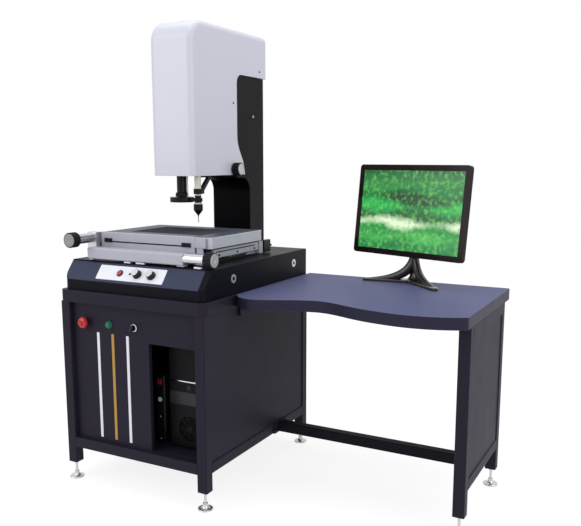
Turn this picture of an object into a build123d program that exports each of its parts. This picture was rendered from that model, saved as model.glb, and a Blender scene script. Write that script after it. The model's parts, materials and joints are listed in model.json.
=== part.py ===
from build123d import *
import math
import os

# A manual video measuring station: a steel cabinet with a computer bay, a side desk with a
# monitor, and on the cabinet a base block with an X-Y stage under a column with a camera head.
# Millimetres. +Z is up, +Y runs from the operator to the rear, +X to the operator's right.
# The origin lies on the floor, under the middle of the whole station.

# Driving dimensions of the cabinet
TABLE_HEIGHT = 740.0
CABINET_WIDTH = 640.0
CABINET_DEPTH = 772.0
STATION_DEPTH = 824.0
TUBE_SIDE = 40.0
TUBE_WALL = 2.0
TUBE_CORNER = 4.0
LEG_CLEARANCE_HEIGHT = 66.0
LEG_PLUG = 8.0
RAIL_BOTTOM = 129.0
RIM_HEIGHT = 44.0
RIM_OVERHANG = 3.0
RIM_BAR = 43.0
RIM_CORNER = 25.0
TOP_SHEET = 5.0
SHEET = 2.0
FRONT_PANEL_RECESS = 20.0
SIDE_PANEL_RECESS = 4.0
BAY_WIDTH = 210.0
BAY_DROP = 125.0
BAY_FLANGE = 15.0
LOUVRE_COUNT = 7
LOUVRE_LENGTH = 150.0
LOUVRE_HEIGHT = 8.0
LOUVRE_PITCH = 22.0
LOUVRE_TOP_MARGIN = 70.0

# Levelling feet
STEM_RADIUS = 5.0
STEM_ENGAGED = 14.0
PAD_RADIUS = 27.0
PAD_RIM = 5.0
PAD_HEIGHT = 24.0
PAD_NECK = 9.0
PAD_FLOOR = 6.0
NUT_RADIUS = 9.8
NUT_HEIGHT = 8.0

# Front panel controls and trim strips
CONTROL_DROP = 74.0
ESTOP_FROM_LEFT = 103.0
START_FROM_LEFT = 212.0
SELECTOR_FROM_LEFT = 326.0
CONTROL_BARREL = 11.0
CONTROL_BORE = 7.5
CONTROL_FLANGE = 14.5
CONTROL_FLANGE_THICK = 5.0
CONTROL_DEPTH = 30.0
CONTROL_NUT = 14.0
CONTROL_NUT_THICK = 6.0
COUNTERBORE = 11.4
COUNTERBORE_FLOOR = 1.0
ESTOP_TRAVEL = 4.0
START_TRAVEL = 3.0
ESTOP_RADIUS = 21.0
ESTOP_HEIGHT = 31.0
STRIP_WIDTH = 12.0
STRIP_THICK = 1.5
STRIP_LIFT = 16.0
STRIP_DROP = 108.0
FIRST_STRIP_FROM_LEFT = 158.0
STRIP_PITCH = 68.5

# Computer in the bay, and the power supply beside it
COMPUTER_WIDTH = 178.0
COMPUTER_DEPTH = 400.0
COMPUTER_TOP_GAP = 17.0
COMPUTER_FRONT_THICK = 14.0
COMPUTER_SETBACK = 96.0
COMPUTER_SIDE_GAP = 6.0
COMPUTER_FOOT = 10.0
SUPPLY_WIDTH = 160.0
SUPPLY_DEPTH = 220.0
SUPPLY_HEIGHT = 110.0
SUPPLY_FRONT = 200.0

# Side desk
DESK_WIDTH = 834.0
DESK_GAP = 3.0
DESK_THICK = 40.0
DESK_REAR_OVERHANG = 23.0
DESK_LEG_FRONT = 240.0
DESK_LEG_SPAN = 480.0
DESK_RAIL_BOTTOM = 147.0
STRETCHER_FRONT = 510.0
FLANGE_THICK = 4.0
FLANGE_WIDTH = 108.0
FLANGE_BOLT_RADIUS = 6.0
FLANGE_BOLT_HEAD = 4.0
DESK_ANGLE_LEG = 40.0
DESK_ANGLE_THICK = 4.0
DESK_ANGLE_FRONT = 230.0
WAVE = [(0.0, 205.0), (0.11, 150.0), (0.26, 200.0), (0.385, 229.0), (0.54, 186.0),
        (0.68, 154.0), (0.80, 147.0), (0.91, 165.0), (1.0, 201.0)]

# Machine base
BASE_SIDE_MARGIN = 10.0
BASE_RIGHT_MARGIN = 5.0
BASE_HEIGHT = 106.0
BASE_FRONT = 66.0
BASE_REAR = 771.0
COVER_FRONT = 11.0
COVER_LIP_HEIGHT = 37.0
COVER_WALL = 3.0
COVER_CORNER = 25.0
SOCKET_RADIUS = 16.0
SOCKET_BORE = 7.0
SOCKET_LENGTH = 40.0
SOCKET_FRONT = 199.0
SOCKET_REAR = 659.0
SOCKET_HEIGHT = 58.0
SLOPE_PANEL_THICK = 1.2
SLOPE_PANEL_LENGTH = 80.0
SLOPE_PANEL_RIGHT_MARGIN = 24.5
PLATE_WIDTH = 299.0
PLATE_SLOPE_LENGTH = 59.0
PLATE_THICK = 2.0
PLATE_FROM_LEFT = 147.5
PLATE_MID = 42.5
KNOB_RADIUS = 17.0
KNOB_HEIGHT = 20.0
KNOB_FLUTES = 24
KNOB_SHAFT = 3.0
PANEL_BUTTON_TRAVEL = 2.0

# Linear guides, in the guide's own section
FIT = 0.05
RUNNING_GAP = 0.3
Y_GUIDE_SPACING = 400.0
Y_GUIDE_HEIGHT = 20.0
Y_RAIL_WIDTH = 20.0
Y_RAIL_HEIGHT = 13.0
Y_BLOCK_WIDTH = 44.0
Y_BLOCK_LENGTH = 60.0
Y_BLOCK_PITCH = 140.0
X_GUIDE_SPACING = 240.0
X_GUIDE_HEIGHT = 17.0
X_RAIL_WIDTH = 15.0
X_RAIL_HEIGHT = 10.0
X_BLOCK_WIDTH = 32.0
X_BLOCK_LENGTH = 60.0
Z_GUIDE_SPACING = 84.0
Z_GUIDE_HEIGHT = 17.0

# Stage
STAGE_WIDTH = 500.0
STAGE_DEPTH = 360.0
STAGE_THICK = 40.0
STAGE_FRONT = 157.0
STAGE_CORNER = 12.0
GLASS_WIDTH = 330.0
GLASS_DEPTH = 230.0
GLASS_THICK = 8.0
GLASS_LEDGE = 12.0
GLASS_CLEARANCE = 0.3
X_TRAVEL = 150.0
Y_TRAVEL = 100.0
X_BLOCK_OFFSET = 40.0
RAIL_END = 6.0
CARRIAGE_THICK = 20.0
CARRIAGE_FRONT = 100.0
CARRIAGE_WINDOW = 140.0
BEAM_DEPTH = 40.0
BEAM_WIDTH = 430.0
BEAM_HEIGHT = 41.0
BEAM_CLEARANCE = 6.5
BEAM_RIGHT_SETBACK = 19.5
BEAM_LUG_LENGTHS = (19.0, 29.0)
BEAM_LUG_HEIGHT = 4.0
SCALE_DEPTH = 9.2
SCALE_WIDTH = 429.0
SCALE_HEIGHT = 59.0
SCALE_SHIFT = 28.0
SCALE_CORNER_WIDTH = 45.5
Y_SCALE_WIDTH = 14.0
Y_SCALE_FRONT = 196.0
Y_SCALE_LENGTH = 208.0
Y_SCALE_HEIGHT = 14.0
SIDE_HOUSING_THICK = 12.0
SIDE_HOUSING_FRONT = 190.0
SIDE_HOUSING_REAR = 502.0
CLAMP_HOLE = 2.5
CLAMP_HOLE_DEPTH = 15.0
CLAMP_HOLE_COUNT = 7
CLAMP_HOLE_PITCH = 45.0
CLAMP_HOLE_MARGIN = 25.0

# Handwheels of the stage and of the head
WHEEL_RADIUS = 28.0
WHEEL_LENGTH = 33.0
DRIVE_TUBE_RADIUS = 18.5
Y_TUBE_RADIUS = 20.0
DRIVE_SHAFT = 5.0
X_WHEEL_OFFSET = 270.0
X_WHEEL_RISE = 77.0
X_WHEEL_FACE = 5.0
X_TUBE_END = 150.0
Y_TUBE_LENGTH = 86.0
Y_WHEEL_LIFT = 2.5
Z_WHEEL_RADIUS = 26.0
Z_WHEEL_RISE = 331.0
Z_WHEEL_DEPTH = 560.0
Z_WHEEL_LENGTH = 30.0
Z_BOSS_LENGTH = 4.0
Z_BEARING_START = 66.0
Z_BEARING_LENGTH = 22.0

# Column and head; a rise is a height above the base's top
COLUMN_WIDTH = 184.0
COLUMN_FRONT = 688.0
COLUMN_REAR = 772.0
COLUMN_RISE = 854.0
COLUMN_HEAD_FRONT = 587.0
ARCH_TOP_RISE = 295.0
ARCH_RADIUS = 58.0
COLUMN_CORE_WALL = 22.0
REAR_COVER_DEPTH = 40.0
REAR_COVER_HEIGHT = 700.0
HEAD_HALF_WIDTH = 96.0
HEAD_WALL = 2.0
HEAD_FRONT = 278.0
HEAD_RISE = 308.0
HEAD_HEIGHT = 568.0
HEAD_FRONT_CORNER = 25.0
HEAD_REAR_CORNER = 8.0
HEAD_BROW = 78.0
CUTOUT_HEIGHT = 396.0
CUTOUT_CORNER = 35.0
CUTOUT_CURVE_HEIGHT = 158.0
CUTOUT_CURVE_BACK = 56.0

# Optics and probe
LENS_AXIS = 336.0
LENS_TUBE = 19.0
LENS_LOWER = 16.0
LENS_LENGTH = 376.0
ZOOM_RING_RADIUS = 24.5
ZOOM_RING_HEIGHT = 16.0
RING_LIGHT_RADIUS = 46.0
RING_LIGHT_HEIGHT = 19.0
RING_LIGHT_RISE = 208.0
CAMERA_SIDE = 44.0
CAMERA_HEIGHT = 60.0
Z_PLATE_RISE = 454.0
Z_PLATE_HEIGHT = 180.0
Z_PLATE_THICK = 15.0
BRACKET_CLAMP = 30.0
BRACKET_HEIGHT = 25.0
Z_DOWN = 30.0
Z_UP = 150.0
PROBE_OFFSET = 74.0
SHANK_RADIUS = 12.5
SHANK_RISE = 234.0
SHANK_LENGTH = 146.0
BAND_RADIUS = 14.0
BAND_LENGTH = 32.0
PROBE_LENGTH = 40.0
PROBE_RADIUS = 17.5
BRACE_WIDTH = 12.0
BRACE_DEPTH = 17.0
BRACE_REACH = 96.0
STYLUS_LENGTH = 28.0
STYLUS_BALL = 2.0
CONTOUR_RADIUS = 32.0
CONTOUR_HEIGHT = 18.0

# Monitor
MONITOR_WIDTH = 523.0
MONITOR_HEIGHT = 351.0
MONITOR_THICK = 18.0
MONITOR_BULGE = 30.0
MONITOR_CORNER = 14.0
MONITOR_MARGIN = 22.0
MONITOR_X = 453.0
MONITOR_Y = 696.0
MONITOR_RISE = 107.0
MONITOR_YAW = -19.2
MONITOR_TILT = 6.5
HINGE_HEIGHT = 50.0
HINGE_SETBACK = 62.0
HINGE_RADIUS = 5.0
NECK_WIDTH = 34.0
NECK_THICK = 14.0
FOOT_ARM = 205.0
FOOT_HUB = 40.0
FOOT_TIP = 13.0
FOOT_THICK = 12.0
FOOT_EDGE = 4.0
FOOT_HALF_ANGLE = 60.0

# Lines that the pieces share
STATION_WIDTH = CABINET_WIDTH + DESK_GAP + DESK_WIDTH
CAB_LEFT = -STATION_WIDTH / 2
CAB_RIGHT = CAB_LEFT + CABINET_WIDTH
FRONT = -STATION_DEPTH / 2
CAB_REAR = FRONT + CABINET_DEPTH
RIM_BOTTOM = TABLE_HEIGHT - RIM_HEIGHT
RAIL_TOP = RAIL_BOTTOM + TUBE_SIDE
MONITOR_BOTTOM = TABLE_HEIGHT + MONITOR_RISE
DESK_LEFT = CAB_RIGHT + DESK_GAP
DESK_RIGHT = DESK_LEFT + DESK_WIDTH
MID_X = CAB_RIGHT - CABINET_WIDTH / 2
PANEL_Y = FRONT + FRONT_PANEL_RECESS
BAY_RIGHT = CAB_RIGHT - TUBE_SIDE
BAY_LEFT = BAY_RIGHT - BAY_WIDTH
BAY_TOP = RIM_BOTTOM - BAY_DROP
BASE_TOP = TABLE_HEIGHT + BASE_HEIGHT
BASE_LEFT = CAB_LEFT + BASE_SIDE_MARGIN
BASE_RIGHT = CAB_RIGHT - BASE_RIGHT_MARGIN
LENS_Y = FRONT + LENS_AXIS
CARRIAGE_BOTTOM = BASE_TOP + Y_GUIDE_HEIGHT
CARRIAGE_TOP = CARRIAGE_BOTTOM + CARRIAGE_THICK
STAGE_BOTTOM = CARRIAGE_TOP + X_GUIDE_HEIGHT
STAGE_TOP = STAGE_BOTTOM + STAGE_THICK
STAGE_MID_Y = FRONT + STAGE_FRONT + STAGE_DEPTH / 2
CONTROL_HEIGHT = RIM_BOTTOM - CONTROL_DROP
ESTOP_HEAD_START = CONTROL_FLANGE_THICK + ESTOP_TRAVEL + 1
STRIP_BOTTOM = RAIL_TOP + STRIP_LIFT
STRIP_TOP = RIM_BOTTOM - STRIP_DROP
X_WHEEL_HEIGHT = BASE_TOP + X_WHEEL_RISE
BEAM_BOTTOM = BASE_TOP + BEAM_CLEARANCE
Y_WHEEL_HEIGHT = BEAM_BOTTOM + BEAM_HEIGHT / 2 + Y_WHEEL_LIFT
Z_WHEEL_HEIGHT = BASE_TOP + Z_WHEEL_RISE
COLUMN_TOP = BASE_TOP + COLUMN_RISE
REAR_COVER_TOP = BASE_TOP + REAR_COVER_HEIGHT
HEAD_BOTTOM = BASE_TOP + HEAD_RISE
HEAD_TOP = HEAD_BOTTOM + HEAD_HEIGHT
CUTOUT_TOP = HEAD_BOTTOM + CUTOUT_HEIGHT
CUTOUT_CURVE_TOP = HEAD_BOTTOM + CUTOUT_CURVE_HEIGHT
CARRIAGE_Z_BOTTOM = BASE_TOP + Z_PLATE_RISE
CARRIAGE_Z_TOP = CARRIAGE_Z_BOTTOM + Z_PLATE_HEIGHT
RING_LIGHT_BOTTOM = BASE_TOP + RING_LIGHT_RISE
LENS_TOP = RING_LIGHT_BOTTOM + LENS_LENGTH
SHANK_BOTTOM = BASE_TOP + SHANK_RISE
SHANK_TOP = SHANK_BOTTOM + SHANK_LENGTH
PROBE_BODY_TOP = SHANK_BOTTOM - BAND_LENGTH
PROBE_BODY_BOTTOM = PROBE_BODY_TOP - PROBE_LENGTH
STYLUS_TIP = PROBE_BODY_BOTTOM - STYLUS_LENGTH


def block(x0, x1, y0, y1, z0, z1):
    return Pos((x0 + x1) / 2, (y0 + y1) / 2, (z0 + z1) / 2) * Box(x1 - x0, y1 - y0, z1 - z0)


def rod_x(x0, x1, y, z, radius):
    return Pos((x0 + x1) / 2, y, z) * Rot(0, 90, 0) * Cylinder(radius, x1 - x0)


def rod_y(x, y0, y1, z, radius):
    return Pos(x, (y0 + y1) / 2, z) * Rot(90, 0, 0) * Cylinder(radius, y1 - y0)


def rod_z(x, y, z0, z1, radius):
    return Pos(x, y, (z0 + z1) / 2) * Cylinder(radius, z1 - z0)


def turned(points):
    """A body turned about Z from its half section, given as (radius, height) points."""
    return revolve(make_face(Plane.XZ * Polyline(*points, close=True)), axis=Axis.Z)


def group(*parts):
    """Several separate solids that belong to one sub-part."""
    return Compound(children=[solid for part in parts for solid in part.solids()])


def square_tube(length):
    """Square tube along X from the origin, centred on the X axis."""
    outer = RectangleRounded(TUBE_SIDE, TUBE_SIDE, TUBE_CORNER)
    inner = Rectangle(TUBE_SIDE - 2 * TUBE_WALL, TUBE_SIDE - 2 * TUBE_WALL)
    return extrude(Plane.YZ * (outer - inner), amount=length)


def tube_x(x0, x1, y0, z0):
    return Pos(x0, y0 + TUBE_SIDE / 2, z0 + TUBE_SIDE / 2) * square_tube(x1 - x0)


def tube_y(x0, y0, y1, z0):
    place = Pos(x0 + TUBE_SIDE / 2, y0, z0 + TUBE_SIDE / 2) * Rot(0, 0, 90)
    return place * square_tube(y1 - y0)


def leg(x0, y0, top):
    """Upright tube with a plug in its lower end, drilled for the foot's threaded stem."""
    x = x0 + TUBE_SIDE / 2
    y = y0 + TUBE_SIDE / 2
    section = RectangleRounded(TUBE_SIDE, TUBE_SIDE, TUBE_CORNER)
    outer = Pos(x, y, LEG_CLEARANCE_HEIGHT) * extrude(section, amount=top - LEG_CLEARANCE_HEIGHT)
    half = TUBE_SIDE / 2 - TUBE_WALL
    hollow = block(x - half, x + half, y - half, y + half, LEG_CLEARANCE_HEIGHT + LEG_PLUG, top)
    hole = rod_z(x, y, LEG_CLEARANCE_HEIGHT, LEG_CLEARANCE_HEIGHT + LEG_PLUG, STEM_RADIUS + FIT)
    return outer - hollow - hole


CABINET_LEG_CORNERS = [(x, y) for x in (CAB_LEFT, CAB_RIGHT - TUBE_SIDE)
                       for y in (FRONT, CAB_REAR - TUBE_SIDE)]
DESK_LEG_X = DESK_RIGHT - TUBE_SIDE
DESK_LEG_FRONTS = [FRONT + DESK_LEG_FRONT, FRONT + DESK_LEG_FRONT + DESK_LEG_SPAN - TUBE_SIDE]
DESK_BOTTOM = TABLE_HEIGHT - DESK_THICK
LEG_CORNERS = CABINET_LEG_CORNERS + [(DESK_LEG_X, y) for y in DESK_LEG_FRONTS]
FOOT_CENTRES = [(x + TUBE_SIDE / 2, y + TUBE_SIDE / 2) for x, y in LEG_CORNERS]


def foot_pads():
    """Trumpet-shaped pads with a blind socket for the stem."""
    flare = ThreePointArc((PAD_RADIUS - 1, PAD_RIM), (PAD_NECK + 4, PAD_RIM + 4), (PAD_NECK, PAD_HEIGHT - 6))
    bottom = Polyline((PAD_RADIUS - 1, PAD_RIM), (PAD_RADIUS, PAD_RIM - 1.5), (PAD_RADIUS, 0), (0, 0),
                      (0, PAD_FLOOR), (STEM_RADIUS + FIT, PAD_FLOOR), (STEM_RADIUS + FIT, PAD_HEIGHT),
                      (PAD_NECK, PAD_HEIGHT), (PAD_NECK, PAD_HEIGHT - 6))
    pad = revolve(make_face(Plane.XZ * (flare + bottom)), axis=Axis.Z)
    return group(*[Pos(x, y, 0) * pad for x, y in FOOT_CENTRES])


def foot_stems():
    top = LEG_CLEARANCE_HEIGHT + STEM_ENGAGED
    return group(*[rod_z(x, y, PAD_FLOOR, top, STEM_RADIUS) for x, y in FOOT_CENTRES])


def foot_lock_nuts():
    hexagon = RegularPolygon(NUT_RADIUS, 6) - Circle(STEM_RADIUS + FIT)
    nut = extrude(hexagon, amount=NUT_HEIGHT)
    return group(*[Pos(x, y, LEG_CLEARANCE_HEIGHT - NUT_HEIGHT) * nut for x, y in FOOT_CENTRES])


def cabinet_legs():
    return group(*[leg(x, y, RIM_BOTTOM) for x, y in CABINET_LEG_CORNERS])


def cabinet_lower_rails():
    front = tube_x(CAB_LEFT + TUBE_SIDE, CAB_RIGHT - TUBE_SIDE, FRONT, RAIL_BOTTOM)
    rear = tube_x(CAB_LEFT + TUBE_SIDE, CAB_RIGHT - TUBE_SIDE, CAB_REAR - TUBE_SIDE, RAIL_BOTTOM)
    left = tube_y(CAB_LEFT, FRONT + TUBE_SIDE, CAB_REAR - TUBE_SIDE, RAIL_BOTTOM)
    right = tube_y(CAB_RIGHT - TUBE_SIDE, FRONT + TUBE_SIDE, CAB_REAR - TUBE_SIDE, RAIL_BOTTOM)
    return group(front, rear, left, right)


def rounded_top(z0, z1):
    width = CABINET_WIDTH + 2 * RIM_OVERHANG
    depth = CABINET_DEPTH + 2 * RIM_OVERHANG
    plan = RectangleRounded(width, depth, RIM_CORNER)
    return Pos(MID_X, FRONT + CABINET_DEPTH / 2, z0) * extrude(plan, amount=z1 - z0)


def cabinet_top_rim():
    """Four edge bars under the top plate, with the outer corners rounded."""
    top = TABLE_HEIGHT - TOP_SHEET
    x0 = CAB_LEFT - RIM_OVERHANG
    x1 = CAB_RIGHT + RIM_OVERHANG
    y0 = FRONT - RIM_OVERHANG
    y1 = CAB_REAR + RIM_OVERHANG
    whole = rounded_top(RIM_BOTTOM, top)
    front = whole & block(x0, x1, y0, y0 + RIM_BAR, RIM_BOTTOM, top)
    rear = whole & block(x0, x1, y1 - RIM_BAR, y1, RIM_BOTTOM, top)
    left = whole & block(x0, x0 + RIM_BAR, y0 + RIM_BAR, y1 - RIM_BAR, RIM_BOTTOM, top)
    right = whole & block(x1 - RIM_BAR, x1, y0 + RIM_BAR, y1 - RIM_BAR, RIM_BOTTOM, top)
    return group(front, rear, left, right)


def cabinet_top_plate():
    return rounded_top(TABLE_HEIGHT - TOP_SHEET, TABLE_HEIGHT)


CONTROL_XS = [CAB_LEFT + ESTOP_FROM_LEFT, CAB_LEFT + START_FROM_LEFT, CAB_LEFT + SELECTOR_FROM_LEFT]


def cabinet_front_panel():
    """Recessed front sheet with the computer bay cut out of it and folded edges round the bay."""
    x0 = CAB_LEFT + TUBE_SIDE
    sheet = block(x0, BAY_RIGHT, PANEL_Y, PANEL_Y + SHEET, RAIL_TOP, RIM_BOTTOM)
    sheet -= block(BAY_LEFT, BAY_RIGHT, PANEL_Y, PANEL_Y + SHEET, RAIL_TOP, BAY_TOP)
    back = PANEL_Y + SHEET + BAY_FLANGE
    sheet += block(BAY_LEFT - SHEET, BAY_LEFT, PANEL_Y, back, RAIL_TOP, BAY_TOP + SHEET)
    sheet += block(BAY_LEFT - SHEET, BAY_RIGHT, PANEL_Y, back, BAY_TOP, BAY_TOP + SHEET)
    for x in CONTROL_XS:
        sheet -= rod_y(x, PANEL_Y, PANEL_Y + SHEET, CONTROL_HEIGHT, CONTROL_BARREL + FIT)
    return sheet


def cabinet_side_panels():
    left = CAB_LEFT + SIDE_PANEL_RECESS
    right = CAB_RIGHT - SIDE_PANEL_RECESS
    y0 = FRONT + TUBE_SIDE
    y1 = CAB_REAR - TUBE_SIDE
    return group(block(left, left + SHEET, y0, y1, RAIL_TOP, RIM_BOTTOM),
                 block(right - SHEET, right, y0, y1, RAIL_TOP, RIM_BOTTOM))


def cabinet_rear_panel():
    """Rear sheet with two columns of ventilation slots."""
    y1 = CAB_REAR - SIDE_PANEL_RECESS
    sheet = block(CAB_LEFT + TUBE_SIDE, BAY_RIGHT, y1 - SHEET, y1, RAIL_TOP, RIM_BOTTOM)
    slot = SlotOverall(LOUVRE_LENGTH, LOUVRE_HEIGHT)
    for side in (-1, 1):
        for row in range(LOUVRE_COUNT):
            z = RIM_BOTTOM - LOUVRE_TOP_MARGIN - row * LOUVRE_PITCH
            x = MID_X + side * LOUVRE_LENGTH * 0.75
            sheet -= Pos(x, y1, z) * Rot(90, 0, 0) * extrude(slot, amount=SHEET)
    return sheet


def cabinet_floor():
    x0 = CAB_LEFT + TUBE_SIDE
    return block(x0, BAY_RIGHT, FRONT + TUBE_SIDE, CAB_REAR - TUBE_SIDE, RAIL_TOP - SHEET, RAIL_TOP)


def facing_front(solid, x, z):
    """Turns a body that was made along Z so that it points out of the front panel."""
    return Pos(x, PANEL_Y, z) * Rot(90, 0, 0) * solid


def control_bezels():
    """Chromed bezels with threaded barrels through the front panel, one for each control."""
    bezel = turned([(CONTROL_BORE, -CONTROL_DEPTH), (CONTROL_BARREL, -CONTROL_DEPTH),
                    (CONTROL_BARREL, 0), (CONTROL_FLANGE, 0), (CONTROL_FLANGE, CONTROL_FLANGE_THICK - 2),
                    (CONTROL_FLANGE - 2, CONTROL_FLANGE_THICK), (COUNTERBORE, CONTROL_FLANGE_THICK),
                    (COUNTERBORE, COUNTERBORE_FLOOR), (CONTROL_BORE, COUNTERBORE_FLOOR)])
    return group(*[facing_front(bezel, x, CONTROL_HEIGHT) for x in CONTROL_XS])


def control_nuts():
    ring = RegularPolygon(CONTROL_NUT + 2, 6) - Circle(CONTROL_BARREL + FIT)
    nut = Pos(0, 0, -SHEET - CONTROL_NUT_THICK) * extrude(ring, amount=CONTROL_NUT_THICK)
    return group(*[facing_front(nut, x, CONTROL_HEIGHT) for x in CONTROL_XS])


def estop_head():
    """Mushroom head with a domed face on a stem that runs in the bezel."""
    stem = CONTROL_BORE - FIT
    skirt = ESTOP_HEAD_START + 6
    dome_rise = ESTOP_HEIGHT - skirt - 6
    dome_radius = (ESTOP_RADIUS ** 2 + dome_rise ** 2) / (2 * dome_rise)
    half_angle = math.asin(ESTOP_RADIUS / dome_radius) / 2
    dome_mid = (dome_radius * math.sin(half_angle), ESTOP_HEIGHT - dome_radius * (1 - math.cos(half_angle)))
    dome = ThreePointArc((ESTOP_RADIUS, skirt + 6), dome_mid, (0, ESTOP_HEIGHT))
    lower = Polyline((0, ESTOP_HEIGHT), (0, -CONTROL_DEPTH + 4), (stem, -CONTROL_DEPTH + 4),
                     (stem, ESTOP_HEAD_START), (ESTOP_RADIUS - 6, ESTOP_HEAD_START),
                     (ESTOP_RADIUS, skirt), (ESTOP_RADIUS, skirt + 6))
    head = revolve(make_face(Plane.XZ * (dome + lower)), axis=Axis.Z)
    return facing_front(head, CONTROL_XS[0], CONTROL_HEIGHT)


def start_button():
    stem = CONTROL_BORE - FIT
    cap = COUNTERBORE - RUNNING_GAP
    floor = COUNTERBORE_FLOOR + START_TRAVEL + RUNNING_GAP
    button = turned([(0, -CONTROL_DEPTH + 4), (stem, -CONTROL_DEPTH + 4), (stem, floor), (cap, floor),
                     (cap, floor + 6), (cap - 1.5, floor + 7.5), (0, floor + 7.5)])
    return facing_front(button, CONTROL_XS[1], CONTROL_HEIGHT)


def selector_handle():
    """Round boss with a raised finger bar, turned about the bezel's axis."""
    stem = CONTROL_BORE - FIT
    cap = COUNTERBORE - RUNNING_GAP
    floor = COUNTERBORE_FLOOR + RUNNING_GAP
    boss = turned([(0, -CONTROL_DEPTH + 4), (stem, -CONTROL_DEPTH + 4), (stem, floor), (cap, floor),
                   (cap, CONTROL_FLANGE_THICK + 1), (0, CONTROL_FLANGE_THICK + 1)])
    bar = Pos(0, 0, CONTROL_FLANGE_THICK) * extrude(SlotOverall(26, 9), amount=15)
    handle = boss + Rot(0, 0, 60) * fillet(bar.edges().group_by(Axis.Z)[-1], 1.5)
    return facing_front(handle, CONTROL_XS[2], CONTROL_HEIGHT)


def trim_strip(index):
    x = CAB_LEFT + FIRST_STRIP_FROM_LEFT + index * STRIP_PITCH
    strip = block(x - STRIP_WIDTH / 2, x + STRIP_WIDTH / 2, PANEL_Y - STRIP_THICK, PANEL_Y,
                  STRIP_BOTTOM, STRIP_TOP)
    return chamfer(strip.edges().group_by(Axis.Y)[0], STRIP_THICK / 2)


PC_RIGHT = BAY_RIGHT - COMPUTER_SIDE_GAP
PC_LEFT = PC_RIGHT - COMPUTER_WIDTH
PC_FRONT = FRONT + COMPUTER_SETBACK + COMPUTER_FRONT_THICK
PC_MID = (PC_LEFT + PC_RIGHT) / 2
PC_BOTTOM = RAIL_TOP + COMPUTER_FOOT
PC_TOP = BAY_TOP - COMPUTER_TOP_GAP
FAN_HEIGHT = PC_BOTTOM + 70.0
FAN_RADIUS = 50.0
BUTTON_HEIGHT = PC_BOTTOM + (PC_TOP - PC_BOTTOM) * 0.6
BUTTON_RADIUS = 9.0
BUTTON_TRAVEL = 2.0


def computer_case():
    """Sheet case on four round feet; it stays closed."""
    case = block(PC_LEFT, PC_RIGHT, PC_FRONT, PC_FRONT + COMPUTER_DEPTH, PC_BOTTOM, PC_TOP)
    case -= block(PC_LEFT + 1, PC_RIGHT - 1, PC_FRONT + 1, PC_FRONT + COMPUTER_DEPTH - 1,
                  PC_BOTTOM + 1, PC_TOP - 1)
    for x in (PC_LEFT + 20, PC_RIGHT - 20):
        for y in (PC_FRONT + 40, PC_FRONT + COMPUTER_DEPTH - 40):
            case += rod_z(x, y, RAIL_TOP, PC_BOTTOM + 0.5, 10)
    return case


def computer_front():
    """Moulded front with two drive bays, a button well and a round fan opening."""
    y0 = PC_FRONT - COMPUTER_FRONT_THICK
    front = block(PC_LEFT, PC_RIGHT, y0, PC_FRONT, PC_BOTTOM, PC_TOP)
    front = fillet(front.edges().filter_by(Axis.Z).group_by(Axis.Y)[0], 6)
    for row in range(2):
        z = PC_TOP - 30 - row * 46
        front -= block(PC_LEFT + 14, PC_RIGHT - 14, y0, y0 + 1.5, z - 40, z)
    front -= rod_y(PC_MID, y0, y0 + 8, FAN_HEIGHT, FAN_RADIUS)
    front -= rod_y(PC_MID, y0, y0 + 8, BUTTON_HEIGHT, BUTTON_RADIUS + RUNNING_GAP)
    front -= rod_y(PC_MID, y0 + 8, PC_FRONT, BUTTON_HEIGHT, 3 + FIT)
    return front


def computer_fan_grille():
    """Rings on spokes over the round fan opening, with a bright hub."""
    y0 = PC_FRONT - COMPUTER_FRONT_THICK
    rings = Sketch()
    for radius in (18, 29, 40, FAN_RADIUS - 0.3):
        rings += Circle(radius) - Circle(radius - 3.5)
    rings += Circle(11)
    for angle in range(0, 180, 45):
        rings += Rot(0, 0, angle) * Rectangle(2 * FAN_RADIUS - 4, 3)
    grille = extrude(rings, amount=3)
    feet = Sketch()
    for angle in range(45, 405, 90):
        feet += Rot(0, 0, angle) * Pos(FAN_RADIUS - 4, 0) * Circle(3)
    grille += Pos(0, 0, -5) * extrude(feet, amount=5)
    return Pos(PC_MID, y0 + 3, FAN_HEIGHT) * Rot(90, 0, 0) * grille


def computer_button():
    y0 = PC_FRONT - COMPUTER_FRONT_THICK
    cap = rod_y(PC_MID, y0 - 1, y0 + 8 - BUTTON_TRAVEL - RUNNING_GAP, BUTTON_HEIGHT, BUTTON_RADIUS)
    return cap + rod_y(PC_MID, y0 + 2, PC_FRONT - BUTTON_TRAVEL - 0.5, BUTTON_HEIGHT, 3)


def power_supply():
    """Ventilated supply for the lamps and the readout, bolted to the cabinet floor."""
    x0 = CAB_LEFT + 2 * TUBE_SIDE
    y0 = FRONT + SUPPLY_FRONT
    box = block(x0, x0 + SUPPLY_WIDTH, y0, y0 + SUPPLY_DEPTH, RAIL_TOP, RAIL_TOP + SUPPLY_HEIGHT)
    box = fillet(box.edges().filter_by(Axis.Z), 4)
    for row in range(5):
        z = RAIL_TOP + 30 + row * 12
        box -= block(x0 + 30, x0 + SUPPLY_WIDTH - 30, y0, y0 + 3, z, z + 5)
    return box


def stretcher_bar():
    return tube_x(CAB_RIGHT + FLANGE_THICK, DESK_LEG_X - FLANGE_THICK, FRONT + STRETCHER_FRONT, RAIL_BOTTOM)


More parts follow.
